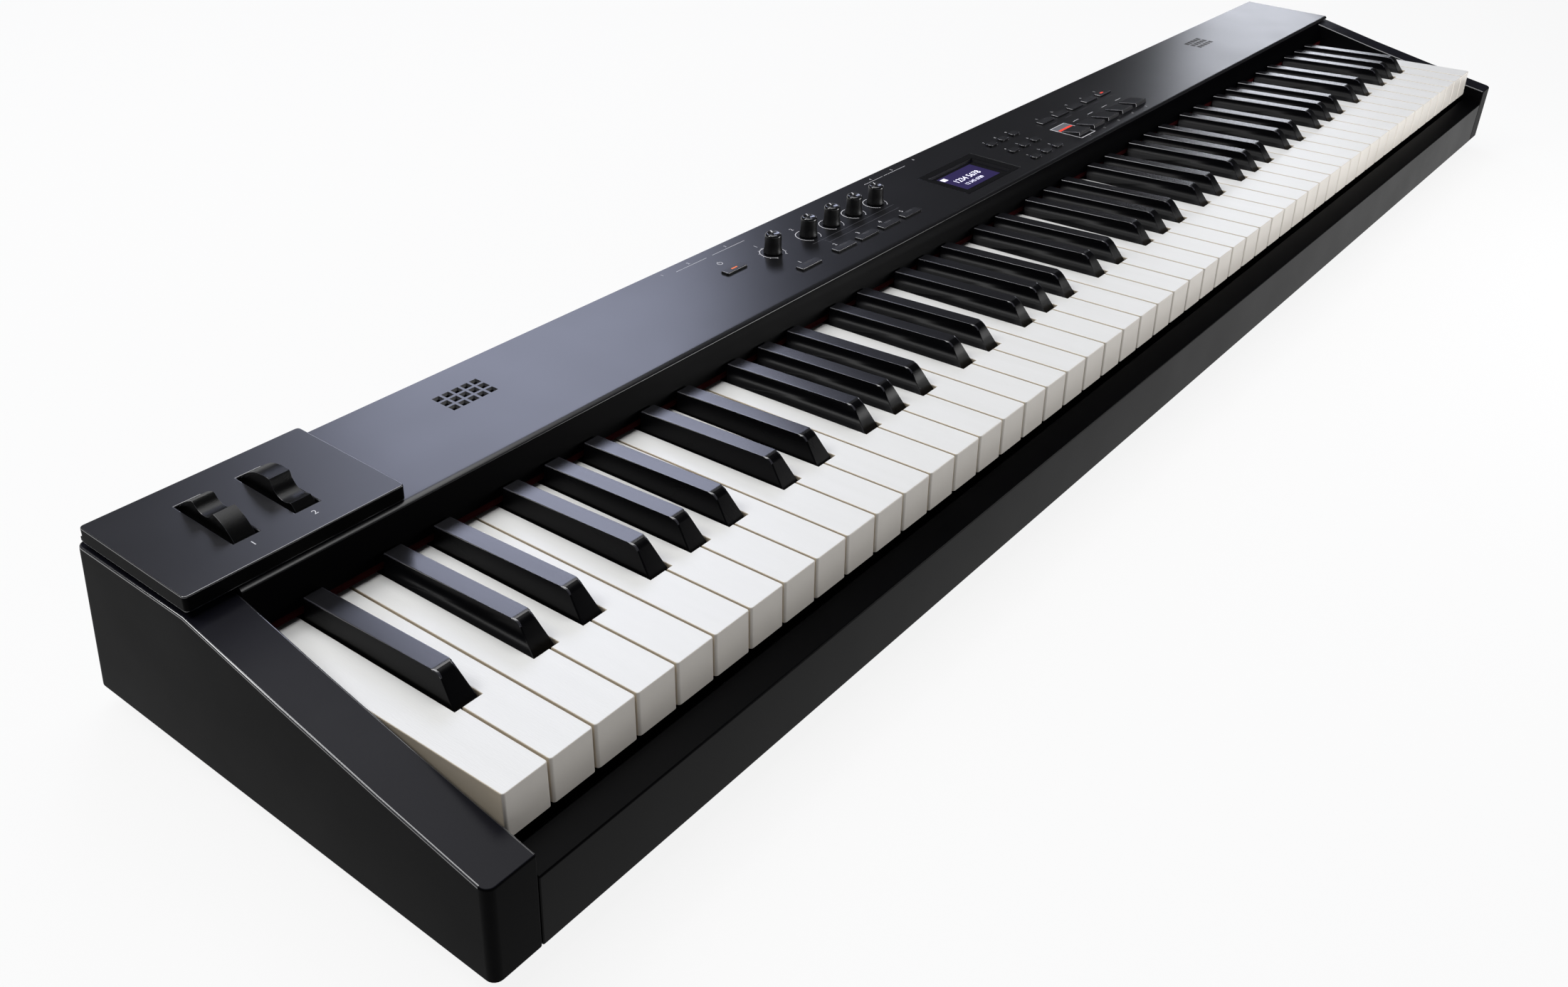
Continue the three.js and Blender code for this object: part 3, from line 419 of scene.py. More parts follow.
def top_panel():
    bm = cad_copy("top_panel")
    top = [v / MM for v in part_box("top_panel")][1].z
    level = edges_above(bm, top - TINY, 30)
    front = min(v.co.y for e in level for v in e.verts)
    fold = [e for e in level if max(v.co.y for v in e.verts) < front + TINY]
    round_edges(bm, fold, BEND, 6)
    rims = round_edges(bm, sharp_edges(bm), PANEL_RIM, 2)
    # The fallboard face below the bend gets the darker copy of the panel paint, as painted shade;
    # rims get the paler rim paint, a painted highlight.
    paint(bm, rims, lambda f, rim: 2 if rim else 1 if f.normal.y < -0.75
          and f.calc_center_median().z < top - BEND else 0)
    return make_piece(bm, "top_panel_paint", "top_panel", "panel_metal", panel_paint,
                      fallboard_painted_shade, edge_rim_painted_highlight, replaces=True)


tell(top_panel())

# %% [markdown]
# ## The end blocks
# Each end is a moulded block. Its upright corners are rounded by four and a half millimetres, and
# its slope to the player sags a little. The section comes from the CAD block. The large radius is
# made first, since a small bevel in the way would stop it, and the shoulder of the slope stays
# sharp in the shading.

# %% End blocks
BLOCK_CORNER = 4.5
BLOCK_RIM = 0.9
OUTER_X = 630
PAINTED_HIGHLIGHT_FRONT = -121
# The painted highlight on the rims reaches back only to this front and down only to this height.
PAINTED_HIGHLIGHT_FOOT = 57
SHOULDER_Y = 45


def end_block(node, name):
    bm = cad_copy(node)
    upright = [
        e for e in sharp_edges(bm, 40)
        if abs(e.verts[0].co.x - e.verts[1].co.x) < TINY
        and abs(e.verts[0].co.z - e.verts[1].co.z) > 20
        and abs(e.verts[0].co.x) > OUTER_X
    ]
    round_edges(bm, upright, BLOCK_CORNER, 6)
    rims = round_edges(bm, sharp_edges(bm, 40), BLOCK_RIM, 3)
    # Upper front rims get the paler rim paint, a painted highlight; faces turned up get the paler
    # top copy, painted light.
    paint(bm, rims, lambda f, rim: 2 if rim and f.calc_center_median().z > PAINTED_HIGHLIGHT_FOOT
          and f.calc_center_median().y > PAINTED_HIGHLIGHT_FRONT else 1 if f.normal.z > 0.7 else 0)
    piece = make_piece(bm, name, node, "end_block_plastic", body_plastic, block_top_painted_light, edge_rim_painted_highlight,
                       replaces=True)
    top = max(v.co.z for v in piece.data.vertices)
    for edge in piece.data.edges:
        ends = [piece.data.vertices[i].co for i in edge.vertices]
        level = min(v.z for v in ends) > top - 0.05 * MM
        if level and max(v.y for v in ends) < SHOULDER_Y * MM:
            edge.use_edge_sharp = True
    return piece


for side in ("left", "right"):
    tell(end_block(f"{side}_end_block", f"{side}_block_moulding"))

# %% [markdown]
# ## The wheel panel
# A moulded lid on the left end stands eight millimetres above the panel, with a slot for each
# wheel. Its upright corners are rounded first, then every other edge gets the small radius of a
# thin bright line. One radius for all would lose one of the two.

# %% Wheel panel
def wheel_panel():
    bm = cad_copy("wheel_panel")
    low, high = (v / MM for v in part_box("wheel_panel"))
    corners = [
        e for e in sharp_edges(bm, 60)
        if abs(e.verts[0].co.z - e.verts[1].co.z) > 5
        and min(abs(e.verts[0].co.x - low.x), abs(e.verts[0].co.x - high.x)) < TINY
        and min(abs(e.verts[0].co.y - low.y), abs(e.verts[0].co.y - high.y)) < TINY
    ]
    round_edges(bm, corners, 2.0, 5)
    rims = round_edges(bm, sharp_edges(bm, 40), 0.6, 3)
    # Rims get the paler rim paint, a painted highlight; the top gets the paler lid copy, painted
    # light, and the sides the darker body black.
    paint(bm, rims, lambda f, rim: 2 if rim else 1 if abs(f.normal.z) < 0.5 else 0)
    return make_piece(bm, "wheel_panel_lid", "wheel_panel", "wheel_panel_plastic",
                      wheel_panel_plastic, body_plastic, edge_rim_painted_highlight, replaces=True)


tell(wheel_panel())

# %% [markdown]
# ## Where the keys are
# White keys repeat every 23.5 millimetres. Black keys are shifted off the seams, so that the
# white ones keep a useful width between them. The CAD model moves the outer octaves as two bodies
# each, and the middle one key by key. So small functions say where a key is and which body
# carries it.

# %% The keyboard's own place and sizes
KEYS = 52
PITCH = 23.5
SEAM = 1.0
HEAD = 47.4
KEY_END = 204.0
CHANNEL = 13.8
SHARP_OFFSET = {"a": 3.57, "c": -2.05, "d": 2.39, "f": -3.12, "g": 0.09}
KEYBOARD = (Matrix.Translation((-KEYS * PITCH / 2, -111.05, 76))
            @ Matrix.Rotation(math.radians(-2.07), 4, "X"))


def letter(index):
    return "abcdefg"[index % 7]


def octave(index):
    return 0 if index < 2 else min(7, (index - 2) // 7 + 1)


def black_centre(index):
    """The middle of the black key after a white key, or None where there is none."""
    inside = 0 <= index < KEYS - 1
    offset = SHARP_OFFSET.get(letter(index)) if inside else None
    return None if offset is None else (index + 1) * PITCH + offset


def key_node(index, is_black):
    """The CAD node that holds this key."""
    if octave(index) == 4:
        return f"key_{letter(index)}{'_sharp_' if is_black else ''}4"
    return f"{'black' if is_black else 'white'}_keys_octave_{octave(index)}"


print("keyboard width in mm:", KEYS * PITCH, "- the 26th white key is on", key_node(25, False))

# %% [markdown]
# ## White keys
# From above, a white key has a wide head and a tail cut back beside each black key. The outlines
# could be drawn one by one, but the places of the black keys already give them all. The CAD model
# holds an octave in one solid. To the eye the keys are separate, so each is made alone, and the
# first of a CAD node stands for it. The front corners are rounded more than the rim, as in a real
# mould.

# %% The outline and body of a white key
KEY_DEPTH = 14
NOSE_BACK, NOSE_DROP = 12, 7.5
TAIL_STEP, TAIL_DROP = 150, 4
LUG_FRONT, LUG_DROP = 196, 10


def key_plan(index):
    """The corners of a white key's outline, from its front left corner round."""
    left, right = index * PITCH + SEAM / 2, (index + 1) * PITCH - SEAM / 2
    before, after = black_centre(index - 1), black_centre(index)
    tail_left = left if before is None else before + CHANNEL / 2
    tail_right = right if after is None else after - CHANNEL / 2
    plan = [(left, 0), (right, 0)]
    plan += [(right, HEAD), (tail_right, HEAD)] if tail_right < right else []
    plan += [(tail_right, KEY_END), (tail_left, KEY_END)]
    plan += [(tail_left, HEAD), (left, HEAD)] if tail_left > left else []
    return plan


def white_key_body(index):
    """The plan pulled down, with a deeper nose, a lower tail and a lug on the pivot rod."""
    bm = bmesh.new()
    top = bm.faces.new([bm.verts.new((x, y, 0)) for x, y in key_plan(index)])
    extrude_by(bm, [top], (0, 0, -KEY_DEPTH))
    for place in (NOSE_BACK, TAIL_STEP, TAIL_STEP + 0.3, LUG_FRONT):
        cut(bm, (0, place, 0), (0, 1, 0))
    outward(bm)
    for near, far, drop in ((-1, NOSE_BACK + TINY, NOSE_DROP),
                            (LUG_FRONT - TINY, KEY_END + 1, LUG_DROP)):
        under = [f for f in bm.faces
                 if f.normal.z < -0.9 and near < f.calc_center_median().y < far]
        extrude_by(bm, under, (0, 0, -drop))
    for v in bm.verts:
        if v.co.z > -TINY and v.co.y > TAIL_STEP + 0.2:
            v.co.z -= TAIL_DROP
    outward(bm)
    return bm


print("corners of the first five plans:", [len(key_plan(index)) for index in range(5)])

# %% White keys
def white_key(index):
    bm = white_key_body(index)
    corners = [e for e in sharp_edges(bm, 60)
               if max(v.co.y for v in e.verts) < TINY
               and abs(e.verts[0].co.z - e.verts[1].co.z) > 5]
    round_edges(bm, corners, 1.5, 4)
    rim = [e for e in edges_above(bm, -TINY)
           if max(v.co.y for v in e.verts) < TAIL_STEP + TINY]
    round_edges(bm, rim, 0.55, 3)
    # Tops get the grained ivory; fronts and sides get the darker, warmer copies, which are
    # painted shade.
    for f in bm.faces:
        f.material_index = 0 if f.normal.z > 0.8 else 2 if f.normal.y < -0.3 else 1
    bmesh.ops.transform(bm, matrix=KEYBOARD, verts=bm.verts)
    node = key_node(index, False)
    number = (index - 2) // 7 + 1
    return make_piece(bm, f"white_key_{letter(index)}{number}", node, "white_key_plastic",
                      ivory_grain, ivory_side_painted_shade, ivory_front_painted_shade), node


def dress_keys(made):
    """The first key of each CAD node stands for that node."""
    seen = set()
    for piece, node in made:
        if node not in seen:
            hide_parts(node)
            seen.add(node)
    return len(made)


print("white keys:", dress_keys([white_key(index) for index in range(KEYS)]))

# %% [markdown]
# ## Black keys
# A black key is a wedge that narrows upwards. Its front slopes back to a soft brow, pinched in at
# the sides, and a lever runs back to its pivot. A cube already has the right eight corners, so
# they are only moved, and the lever is pulled out of it. The long edges are rounded just enough
# for a thin bright line, and their upper rims are painted a paler grey as a painted highlight.
# The flat top mirrors the cards, so it is glossy, while the other sides get a darker, duller copy
# of the black as painted shade.

# %% The body of a black key
BLACK_FRONT = HEAD + 1.0
BLACK_REAR = 140.8
BLACK_SLOPE = 10.2
BLACK_RISE = 12.1
BLACK_FOOT = -2
BLACK_BASE = 12.3
BLACK_TOP = 9.8
LEVER_DEPTH = 10
LEVER_END = 216
BROW_RADIUS = 3.2
BROW_REACH = 3.5
PINCH = 1.2
PINCH_FOOT = 8


def black_key_body(centre):
    bm = bmesh.new()
    bmesh.ops.create_cube(bm, size=1)
    for v in bm.verts:
        is_top, is_front = v.co.z > 0, v.co.y < 0
        v.co.x = centre + math.copysign((BLACK_TOP if is_top else BLACK_BASE) / 2, v.co.x)
        v.co.y = BLACK_FRONT + (BLACK_SLOPE if is_top else 0) if is_front else BLACK_REAR
        v.co.z = (BLACK_RISE if is_front else BLACK_RISE - 2) if is_top else BLACK_FOOT
    under = [f for f in bm.faces if f.normal.z < -0.9]
    extrude_by(bm, under, (0, 0, -LEVER_DEPTH))
    bm.normal_update()
    back = [f for f in bm.faces
            if f.normal.y > 0.9 and f.calc_center_median().z < BLACK_FOOT - TINY]
    extrude_by(bm, back, (0, LEVER_END - BLACK_REAR, 0))
    outward(bm)
    return bm


def round_brow(bm, centre):
    """Rounds the front end of the top and draws its two sides in."""
    reach = BLACK_FRONT + BLACK_SLOPE
    brow = [e for e in bm.edges
            if all(v.co.z > BLACK_RISE - TINY and v.co.y < reach + TINY for v in e.verts)]
    round_edges(bm, brow, BROW_RADIUS, 6)
    bend = [v for v in bm.verts if v.co.z > PINCH_FOOT and v.co.y < reach + BROW_REACH]
    rear, front = (pick(v.co.y for v in bend) for pick in (max, min))
    for v in bend:
        share = (rear - v.co.y) / (rear - front)
        v.co.x -= math.copysign(PINCH * math.sin(math.pi * 0.72 * share), v.co.x - centre)


print("a black key is", BLACK_BASE, "mm wide below and", BLACK_TOP, "mm above")

# %% Black keys
def black_key(index):
    centre = black_centre(index)
    bm = black_key_body(centre)
    round_brow(bm, centre)
    cheeks = [e for e in edges_above(bm, BLACK_FOOT - TINY, 25)
              if not all(v.co.z < BLACK_FOOT + TINY for v in e.verts)
              and not all(v.co.y > BLACK_REAR - TINY for v in e.verts)
              and max(v.co.y for v in e.verts) < BLACK_REAR + TINY]
    rims = round_edges(bm, cheeks, 0.55, 3)
    # Upper rims get the paler rim paint, a painted highlight; faces not turned up get the darker,
    # duller copy, painted shade.
    paint(bm, rims, lambda f, rim: 2 if rim and f.calc_center_median().z > 7
          else 0 if f.normal.z > 0.96 else 1)
    bmesh.ops.transform(bm, matrix=KEYBOARD, verts=bm.verts)
    node = key_node(index, True)
    number = (index - 2) // 7 + 1
    return make_piece(bm, f"black_key_{letter(index)}_sharp_{number}", node,
                      "black_key_plastic", ebony_grain, ebony_side_painted_shade, ebony_rim_painted_highlight), node


black_indexes = [index for index in range(KEYS) if black_centre(index) is not None]
print("black keys:", dress_keys([black_key(index) for index in black_indexes]))

# %% [markdown]
# ## Pitch and modulation wheels
# Each wheel is a sector of a disc with a finger scoop. The vertices under the finger are moved on
# to the scoop's circle, the lower half, which would hit the keys' tails, is cut away, and an
# inset sinks both sides. Subtracting a cylinder would leave slivers that shade badly.

# %% Wheels
WHEEL_RADIUS = 24.2
WHEEL_WIDTH = 10.2
WHEEL_Y = 75.8
WHEEL_Z = 88.0
SCOOP_RADIUS = 8.0
SCOOP_HALF = 7.0


def wheel_sector():
    bm = bmesh.new()
    bmesh.ops.create_circle(bm, cap_ends=True, radius=WHEEL_RADIUS, segments=160)
    bmesh.ops.rotate(bm, matrix=Matrix.Rotation(math.radians(90), 3, "Y"), verts=bm.verts)
    ridge = math.sqrt(WHEEL_RADIUS ** 2 - SCOOP_HALF ** 2)
    centre = ridge + math.sqrt(SCOOP_RADIUS ** 2 - SCOOP_HALF ** 2)
    for v in bm.verts:
        if v.co.z > 0 and abs(v.co.y) < SCOOP_HALF:
            v.co.z = centre - math.sqrt(SCOOP_RADIUS ** 2 - v.co.y ** 2)
    cut(bm, (0, 0, -2), (0, 0, -1), clear=True)
    move_all(bm, (-WHEEL_WIDTH / 2, 0, 0))
    extrude_by(bm, bm.faces[:], (WHEEL_WIDTH, 0, 0), keep=True)
    outward(bm)
    return bm


def wheel(node, name, x, rest_angle):
    bm = wheel_sector()
    rims = round_edges(bm, sharp_edges(bm, 60), 0.8, 3)
    cheeks = [f for f in bm.faces if abs(f.normal.x) > 0.99 and f.calc_area() > 100]
    bmesh.ops.inset_region(bm, faces=cheeks, thickness=1.6, depth=-1.0)
    # Rims get the paler rim paint, a painted highlight.
    paint(bm, rims)
    bmesh.ops.rotate(bm, matrix=Matrix.Rotation(rest_angle, 3, "X"), verts=bm.verts)
    move_all(bm, (x, WHEEL_Y, WHEEL_Z))
    return make_piece(bm, name, node, "wheel_plastic", wheel_rubber, ebony_rim_painted_highlight, replaces=True)


tell(wheel("pitch_wheel", "pitch_wheel_rim", -594.75, 0))
tell(wheel("modulation_wheel", "modulation_wheel_rim", -564.75, math.radians(26)))

# %% [markdown]
# ## Knobs
# A knob is turned on a lathe, so its side is one profile spun about its axis: a skirt that
# flares at the foot, and a slightly hollow cap with a white pointer. A scaled cylinder has
# neither, nor the soft rim that tells a knob from a peg.

# %% Knobs
PANEL = 95.0
KNOB_TOP = PANEL + 12.8
KNOB_FOOT = 88
KNOB_Y = 85.0
KNOB_XS = (-203.4, -167.0, -142.2, -117.4, -92.6)
KNOB_NODES = ("volume_knob", *(f"control_knob_{i + 1}" for i in range(4)))
KNOB_PROFILE = (
    (0, KNOB_FOOT), (3, KNOB_FOOT), (3, PANEL + 0.5), (5.5, PANEL + 0.45), (5.8, PANEL + 0.8),
    (5.75, PANEL + 2.2), (5.3, PANEL + 3.0), (5.2, PANEL + 6), (5.15, KNOB_TOP - 1.6),
    (5.0, KNOB_TOP - 0.9), (4.6, KNOB_TOP - 0.35), (4.1, KNOB_TOP - 0.05), (3.7, KNOB_TOP),
    (3.2, KNOB_TOP - 0.15), (1.6, KNOB_TOP - 0.55), (0, KNOB_TOP - 0.65))


def lathe(profile, x, y, steps=48):
    """Spins a profile of (radius, height) pairs about an upright axis."""
    bm = bmesh.new()
    verts = [bm.verts.new((radius, 0, height)) for radius, height in profile]
    edges = [bm.edges.new(pair) for pair in zip(verts, verts[1:])]
    bmesh.ops.spin(bm, geom=verts + edges, cent=(0, 0, 0), axis=(0, 0, 1),
                   angle=2 * math.pi, steps=steps, use_merge=True)
    bmesh.ops.remove_doubles(bm, verts=bm.verts, dist=0.001)
    outward(bm)
    move_all(bm, (x, y, 0))
    return bm


def knob(node, x):
    bm = lathe(KNOB_PROFILE, x, KNOB_Y)
    for f in bm.faces:
        middle = f.calc_center_median()
        reach = math.hypot(middle.x - x, middle.y - KNOB_Y)
        f.material_index = 1 if reach < 5.1 and middle.z > KNOB_TOP - 1.5 else 0
    return make_piece(bm, f"{node}_turned", node, "knob_plastic", knob_plastic, knob_cap,
                      replaces=True)


def knob_pointer(node, x):
    bm = rounded_block((-0.4, 0.4), (1.6, 4.5), (KNOB_TOP - 0.5, KNOB_TOP + 0.06), 0.15)
    bmesh.ops.rotate(bm, matrix=Matrix.Rotation(math.radians(-28), 3, "Z"), verts=bm.verts)
    move_all(bm, (x, KNOB_Y, 0))
    return make_piece(bm, f"{node}_pointer", node, "knob_plastic", white_ink)


for node, x in zip(KNOB_NODES, KNOB_XS):
    tell(knob(node, x))
    knob_pointer(node, x)

# %% [markdown]
# ## Buttons
# The caps are small mouldings in straight rows, so a first place and a step give them all.
# Inside, a row is one strip, but only the caps show, so they are drawn cap by cap, and the first
# stands for the strip.

# %% Button caps
COLUMN = 24.4
FUNCTION_Y = 57.3
MENU_XS = [140.6 + COLUMN * i for i in range(5)]
MENU_Y = 84.3
NAV_XS = [79.3 + 16.45 * (i - 1) for i in range(3)]
NAV_YS = [68.4 + 18.4 * (i - 1) for i in range(3)]
CAP_FOOT = 91.5
CAP_TOP = PANEL + 1.5
MENU_TOP = PANEL + 1.1


def cap(node, name, x, y, width, depth, top, stand_in=False, radius=0.5):
    bm = block((x - width / 2, x + width / 2), (y - depth / 2, y + depth / 2),
               (CAP_FOOT, top))
    corners = [e for e in bm.edges if abs(e.verts[0].co.z - e.verts[1].co.z) > 1]
    round_edges(bm, corners, radius, 3)
    rims = round_edges(bm, edges_above(bm, top - TINY), 0.35, 3)
    # Rims get the paler rim paint, a painted highlight.
    paint(bm, rims)
    piece = make_piece(bm, name, node, "button_plastic", button_plastic, ebony_rim_painted_highlight)
    if stand_in:
        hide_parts(node)
    return piece


cap("power_button", "power_cap", -239, 86.25, 18, 5.5, CAP_TOP, True)
for i, x in enumerate(KNOB_XS):
    cap("function_button_strip", f"function_cap_{i + 1}", x, FUNCTION_Y, 19.5, 5.5, CAP_TOP,
        i == 0)
for i, x in enumerate(MENU_XS):
    cap("menu_button_strip", f"menu_cap_{i + 1}", x, MENU_Y, 19, 6, MENU_TOP, i == 0)
for i, (y, x) in enumerate([(y, x) for y in NAV_YS for x in NAV_XS]):
    cap("navigation_keypad", f"navigation_cap_{i + 1}", x, y, 9.5, 5.5, CAP_TOP, i == 0, 2.0)

# %% [markdown]
# ## Tone pads
# Five larger pads choose the kind of sound. Each rises like a wedge towards the player, so that a
# finger finds it. A box is cut close behind its front and the new line is lifted, which makes
# both slopes at once.

# %% Tone pads
PAD_XS = [135.6 + COLUMN * i for i in range(5)]
PAD_Y = 55.2
PAD_HALF_X, PAD_HALF_Y = 9.2, 7.75
PAD_RIDGE = PAD_Y - 7.05


def tone_pad(i, x):
    bm = block((x - PAD_HALF_X, x + PAD_HALF_X), (PAD_Y - PAD_HALF_Y, PAD_Y + PAD_HALF_Y),
               (CAP_FOOT, PANEL + 0.7))
    cut(bm, (0, PAD_RIDGE, 0), (0, 1, 0))
    for v in bm.verts:
        if abs(v.co.y - PAD_RIDGE) < 0.01 and v.co.z > PANEL:
            v.co.z = PANEL + 3.3
    outward(bm)
    rims = round_edges(bm, [e for e in sharp_edges(bm, 12)
                            if max(v.co.z for v in e.verts) > PANEL], 0.4, 3)
    # Rims get the paler rim paint, a painted highlight.
    paint(bm, rims)
    piece = make_piece(bm, f"tone_pad_{i + 1}", "tone_pad_strip", "pad_plastic", pad_plastic,
                       ebony_rim_painted_highlight)
    if i == 0:
        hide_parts("tone_pad_strip")
    return piece


print("tone pads:", len([tone_pad(i, x) for i, x in enumerate(PAD_XS)]))

# %% [markdown]
# ## The display
# The screen lies in a shallow recess, in a dark bezel that is flush with the panel. The walls of
# the recess are painted paler than the bezel, as painted light, so from the side the far walls
# show as a paler strip. A plate is cut four times, its middle is taken out and walls join the two
# holes, since four bars would show seams. A dark pane fills the recess, and a rectangle on it is
# lit. The parts inside keep their CAD shape and only get a finish.

# %% Bezel
WINDOW_X, WINDOW_Y = (-34.3, 36.5), (47.5, 89.0)
RECESS_X, RECESS_Y = (-30.0, 28.6), (50.6, 83.4)
SCREEN = 92.75


def in_recess(place, margin=0.0):
    """Whether a place lies within the recess, seen from above."""
    return (RECESS_X[0] - margin < place.x < RECESS_X[1] + margin
            and RECESS_Y[0] - margin < place.y < RECESS_Y[1] + margin)


def bezel():
    bm = block(WINDOW_X, WINDOW_Y, (SCREEN, PANEL + 0.05))
    for x in RECESS_X:
        cut(bm, (x, 0, 0), (1, 0, 0))
    for y in RECESS_Y:
        cut(bm, (0, y, 0), (0, 1, 0))
    lids = [f for f in bm.faces
            if abs(f.normal.z) > 0.9 and in_recess(f.calc_center_median())]
    rims = [e for f in lids for e in f.edges]
    bmesh.ops.delete(bm, geom=lids, context="FACES_ONLY")
    low = [e for e in rims if e.verts[0].co.z < PANEL - 1]
    high = [e for e in rims if e.verts[0].co.z > PANEL - 1]
    bmesh.ops.bridge_loops(bm, edges=low + high)
    outward(bm)
    round_edges(bm, edges_above(bm, PANEL - TINY), 0.25, 2)
    for f in bm.faces:
        # Recess walls get the paler copy, painted light; the rest stays window glass.
        wall = in_recess(f.calc_center_median(), TINY) and abs(f.normal.z) < 0.3
        f.material_index = 1 if wall else 0
    return make_piece(bm, "display_bezel", "display_window", "display_window", window_glass,
                      recess_wall_painted_light, replaces=True)


tell(bezel())

# %% Screen and inner parts
PANE_FOOT = 92.7
LIT = SCREEN + 0.08

glass = rounded_block((RECESS_X[0] + 0.1, RECESS_X[1] - 0.1),
                      (RECESS_Y[0] + 0.1, RECESS_Y[1] - 0.1), (PANE_FOOT, SCREEN + 0.02),
                      0.02, 1)
make_piece(glass, "display_glass", "display_window", "display_window", window_glass)
light = rounded_block((-22.6, 21.6), (55.4, 80.6), (PANE_FOOT, LIT), 0.03, 1)
make_piece(light, "display_light", "display_window", "display_screen", screen_glow)
# The key stop felt is painted near-black, as painted shade of the gap under the key fronts.
for node, made in (("display_screen", screen_glow), ("key_frame", steel),
                   ("key_stop_felt", stop_felt_painted_shade), ("key_contact_board", board_green),
                   ("main_board", board_green)):
    materials = frame["nodes"][node].data.materials
    materials.clear()
    materials.append(made)
    print(node, "is in", made.name)

# %% [markdown]
# ## Print
# A real panel carries words beside every control. Here plain numbers stand in their places, with
# rings, brackets and faint lines. Each mark is a flat shape raised by a few hundredths of a
# millimetre, as real ink is: digits come from the built-in font, and a ring is a short edge spun
# about its centre. A picture would blur in close views.

# %% Ink
INK = 0.04


def thicken(bm):
    """Gives flat faces the height of ink, so that they are closed solids."""
    extrude_by(bm, bm.faces[:], (0, 0, INK), keep=True)
    outward(bm)


def add_bar(bm, x, y, z=PANEL):
    """Adds a flat rectangle between two values of x and of y."""
    bm.faces.new([bm.verts.new((a, b, z)) for a, b in
                  ((x[0], y[0]), (x[1], y[0]), (x[1], y[1]), (x[0], y[1]))])


def add_arc(bm, x, y, radius, width, start, end, z=PANEL, steps=40):
    """Adds a flat ring, or the part of it between two angles in degrees."""
    turn = math.radians(start)
    pair = [bm.verts.new((x + math.cos(turn) * r, y + math.sin(turn) * r, z))
            for r in (radius - width / 2, radius + width / 2)]
    edge = bm.edges.new(pair)
    bmesh.ops.spin(bm, geom=pair + [edge], cent=(x, y, z), axis=(0, 0, 1),
                   angle=math.radians(end - start), steps=steps)


def add_digits(bm, text, x, y, height, z=PANEL):
    """Adds plain digits, centred on a place, from the font that comes with Blender."""
    curve = bpy.data.curves.new("digits", "FONT")
    curve.body = text
    curve.size = height / 0.7
    curve.align_x = "CENTER"
    curve.align_y = "CENTER"
    curve.resolution_u = 3
    words = bpy.data.objects.new("digits", curve)
    scene.collection.objects.link(words)
    flat = bpy.data.meshes.new_from_object(
        words.evaluated_get(bpy.context.evaluated_depsgraph_get()))
    flat.transform(Matrix.Translation((x, y, z)))
    bm.from_mesh(flat)
    bpy.data.objects.remove(words)
    bpy.data.curves.remove(curve)
    bpy.data.meshes.remove(flat)


print("height of the ink in mm:", INK)

# %% Marks around the knobs
RING, TICK_END = 8.1, 9.3


def knob_marks(bm):
    for i, x in enumerate(KNOB_XS):
        add_arc(bm, x, KNOB_Y, RING, 0.5, -62, 242)
        add_digits(bm, str(i + 1), x, KNOB_Y + 13.3, 3.0)
        add_digits(bm, str(i + 1), x, FUNCTION_Y + 6.9, 3.0)
    spot = Vector((KNOB_XS[0], KNOB_Y, PANEL))
    for step in range(11):
        turn = math.radians(-58 + step * 29.6)
        out = Vector((math.cos(turn), math.sin(turn), 0))
        side = Vector((-out.y, out.x, 0)) * 0.2
        bm.faces.new([bm.verts.new(spot + out * reach + shift) for reach, shift in
                      ((RING, -side), (TICK_END, -side), (TICK_END, side), (RING, side))])


print("knobs with marks:", len(KNOB_XS))

# %% Layers of ink
BRACKETS = ((-264.5, -237), (-231.5, -200.5), (-69.5, -47), (-45.5, -19))
BRACKET_Y, SOCKET_LABEL_Y = (109.5, 109.8), 112.4
PAD_FRAME_X, PAD_FRAME_Y = (124.9, 147.7), (44.6, 72.0)
FRAME_LINE = 0.7


def panel_print():
    bm = bmesh.new()
    knob_marks(bm)
    add_arc(bm, -237.7, 98.5, 1.7, 0.4, -235, 55)
    add_bar(bm, (-237.9, -237.5), (98.9, 100.9))
    for number, (left, right) in enumerate(BRACKETS, 2):
        add_bar(bm, (left, right), BRACKET_Y)
        add_digits(bm, str(number), (left + right) / 2, SOCKET_LABEL_Y, 2.2)
    add_digits(bm, "1", -274, SOCKET_LABEL_Y, 2.2)
    add_digits(bm, "6", -4, SOCKET_LABEL_Y, 2.2)
    for i, x in enumerate(MENU_XS):
        add_digits(bm, str(i + 1), x, MENU_Y + 7.6, 2.2)
    for i, x in enumerate(PAD_XS):
        add_digits(bm, str(i + 1), x, PAD_Y - 12, 2.0)
        if i:
            add_bar(bm, (x - 4.5, x + 4.5), (67.9, 68.3))
    for i, y in enumerate(NAV_YS):
        for j, x in enumerate(NAV_XS):
            add_digits(bm, str(1 + 3 * i + j), x, y + 6.6, 2.0)
    (left, right), (front, rear) = PAD_FRAME_X, PAD_FRAME_Y
    add_bar(bm, (left, left + FRAME_LINE), (front + 0.4, rear - 0.4))
    add_bar(bm, (right - FRAME_LINE, right), (front + 0.4, rear - 0.4))
    add_bar(bm, (left, right), (front, front + FRAME_LINE))
    add_bar(bm, (left, right), (rear - FRAME_LINE, rear))
    thicken(bm)
    return make_piece(bm, "panel_print", "top_panel", "panel_metal", white_ink)


def faint_print():
    bm = bmesh.new()
    add_bar(bm, (-176, -86), (74.5, 74.75))
    add_bar(bm, (-166, -88), (68.9, 69.15))
    add_bar(bm, (-166.1, -165.85), (67, 74.5))
    for x in MENU_XS:
        add_bar(bm, (x - 5, x + 5), (76.8, 77.1))
    thicken(bm)
    return make_piece(bm, "faint_print", "top_panel", "panel_metal", grey_ink)


def wheel_print():
    bm = bmesh.new()
    for text, x in (("1", -595.2), ("2", -565.2)):
        add_digits(bm, text, x, 49.2, 3.2, PANEL + 8)
    thicken(bm)
    return make_piece(bm, "wheel_numbers", "wheel_panel", "wheel_panel_plastic", white_ink)


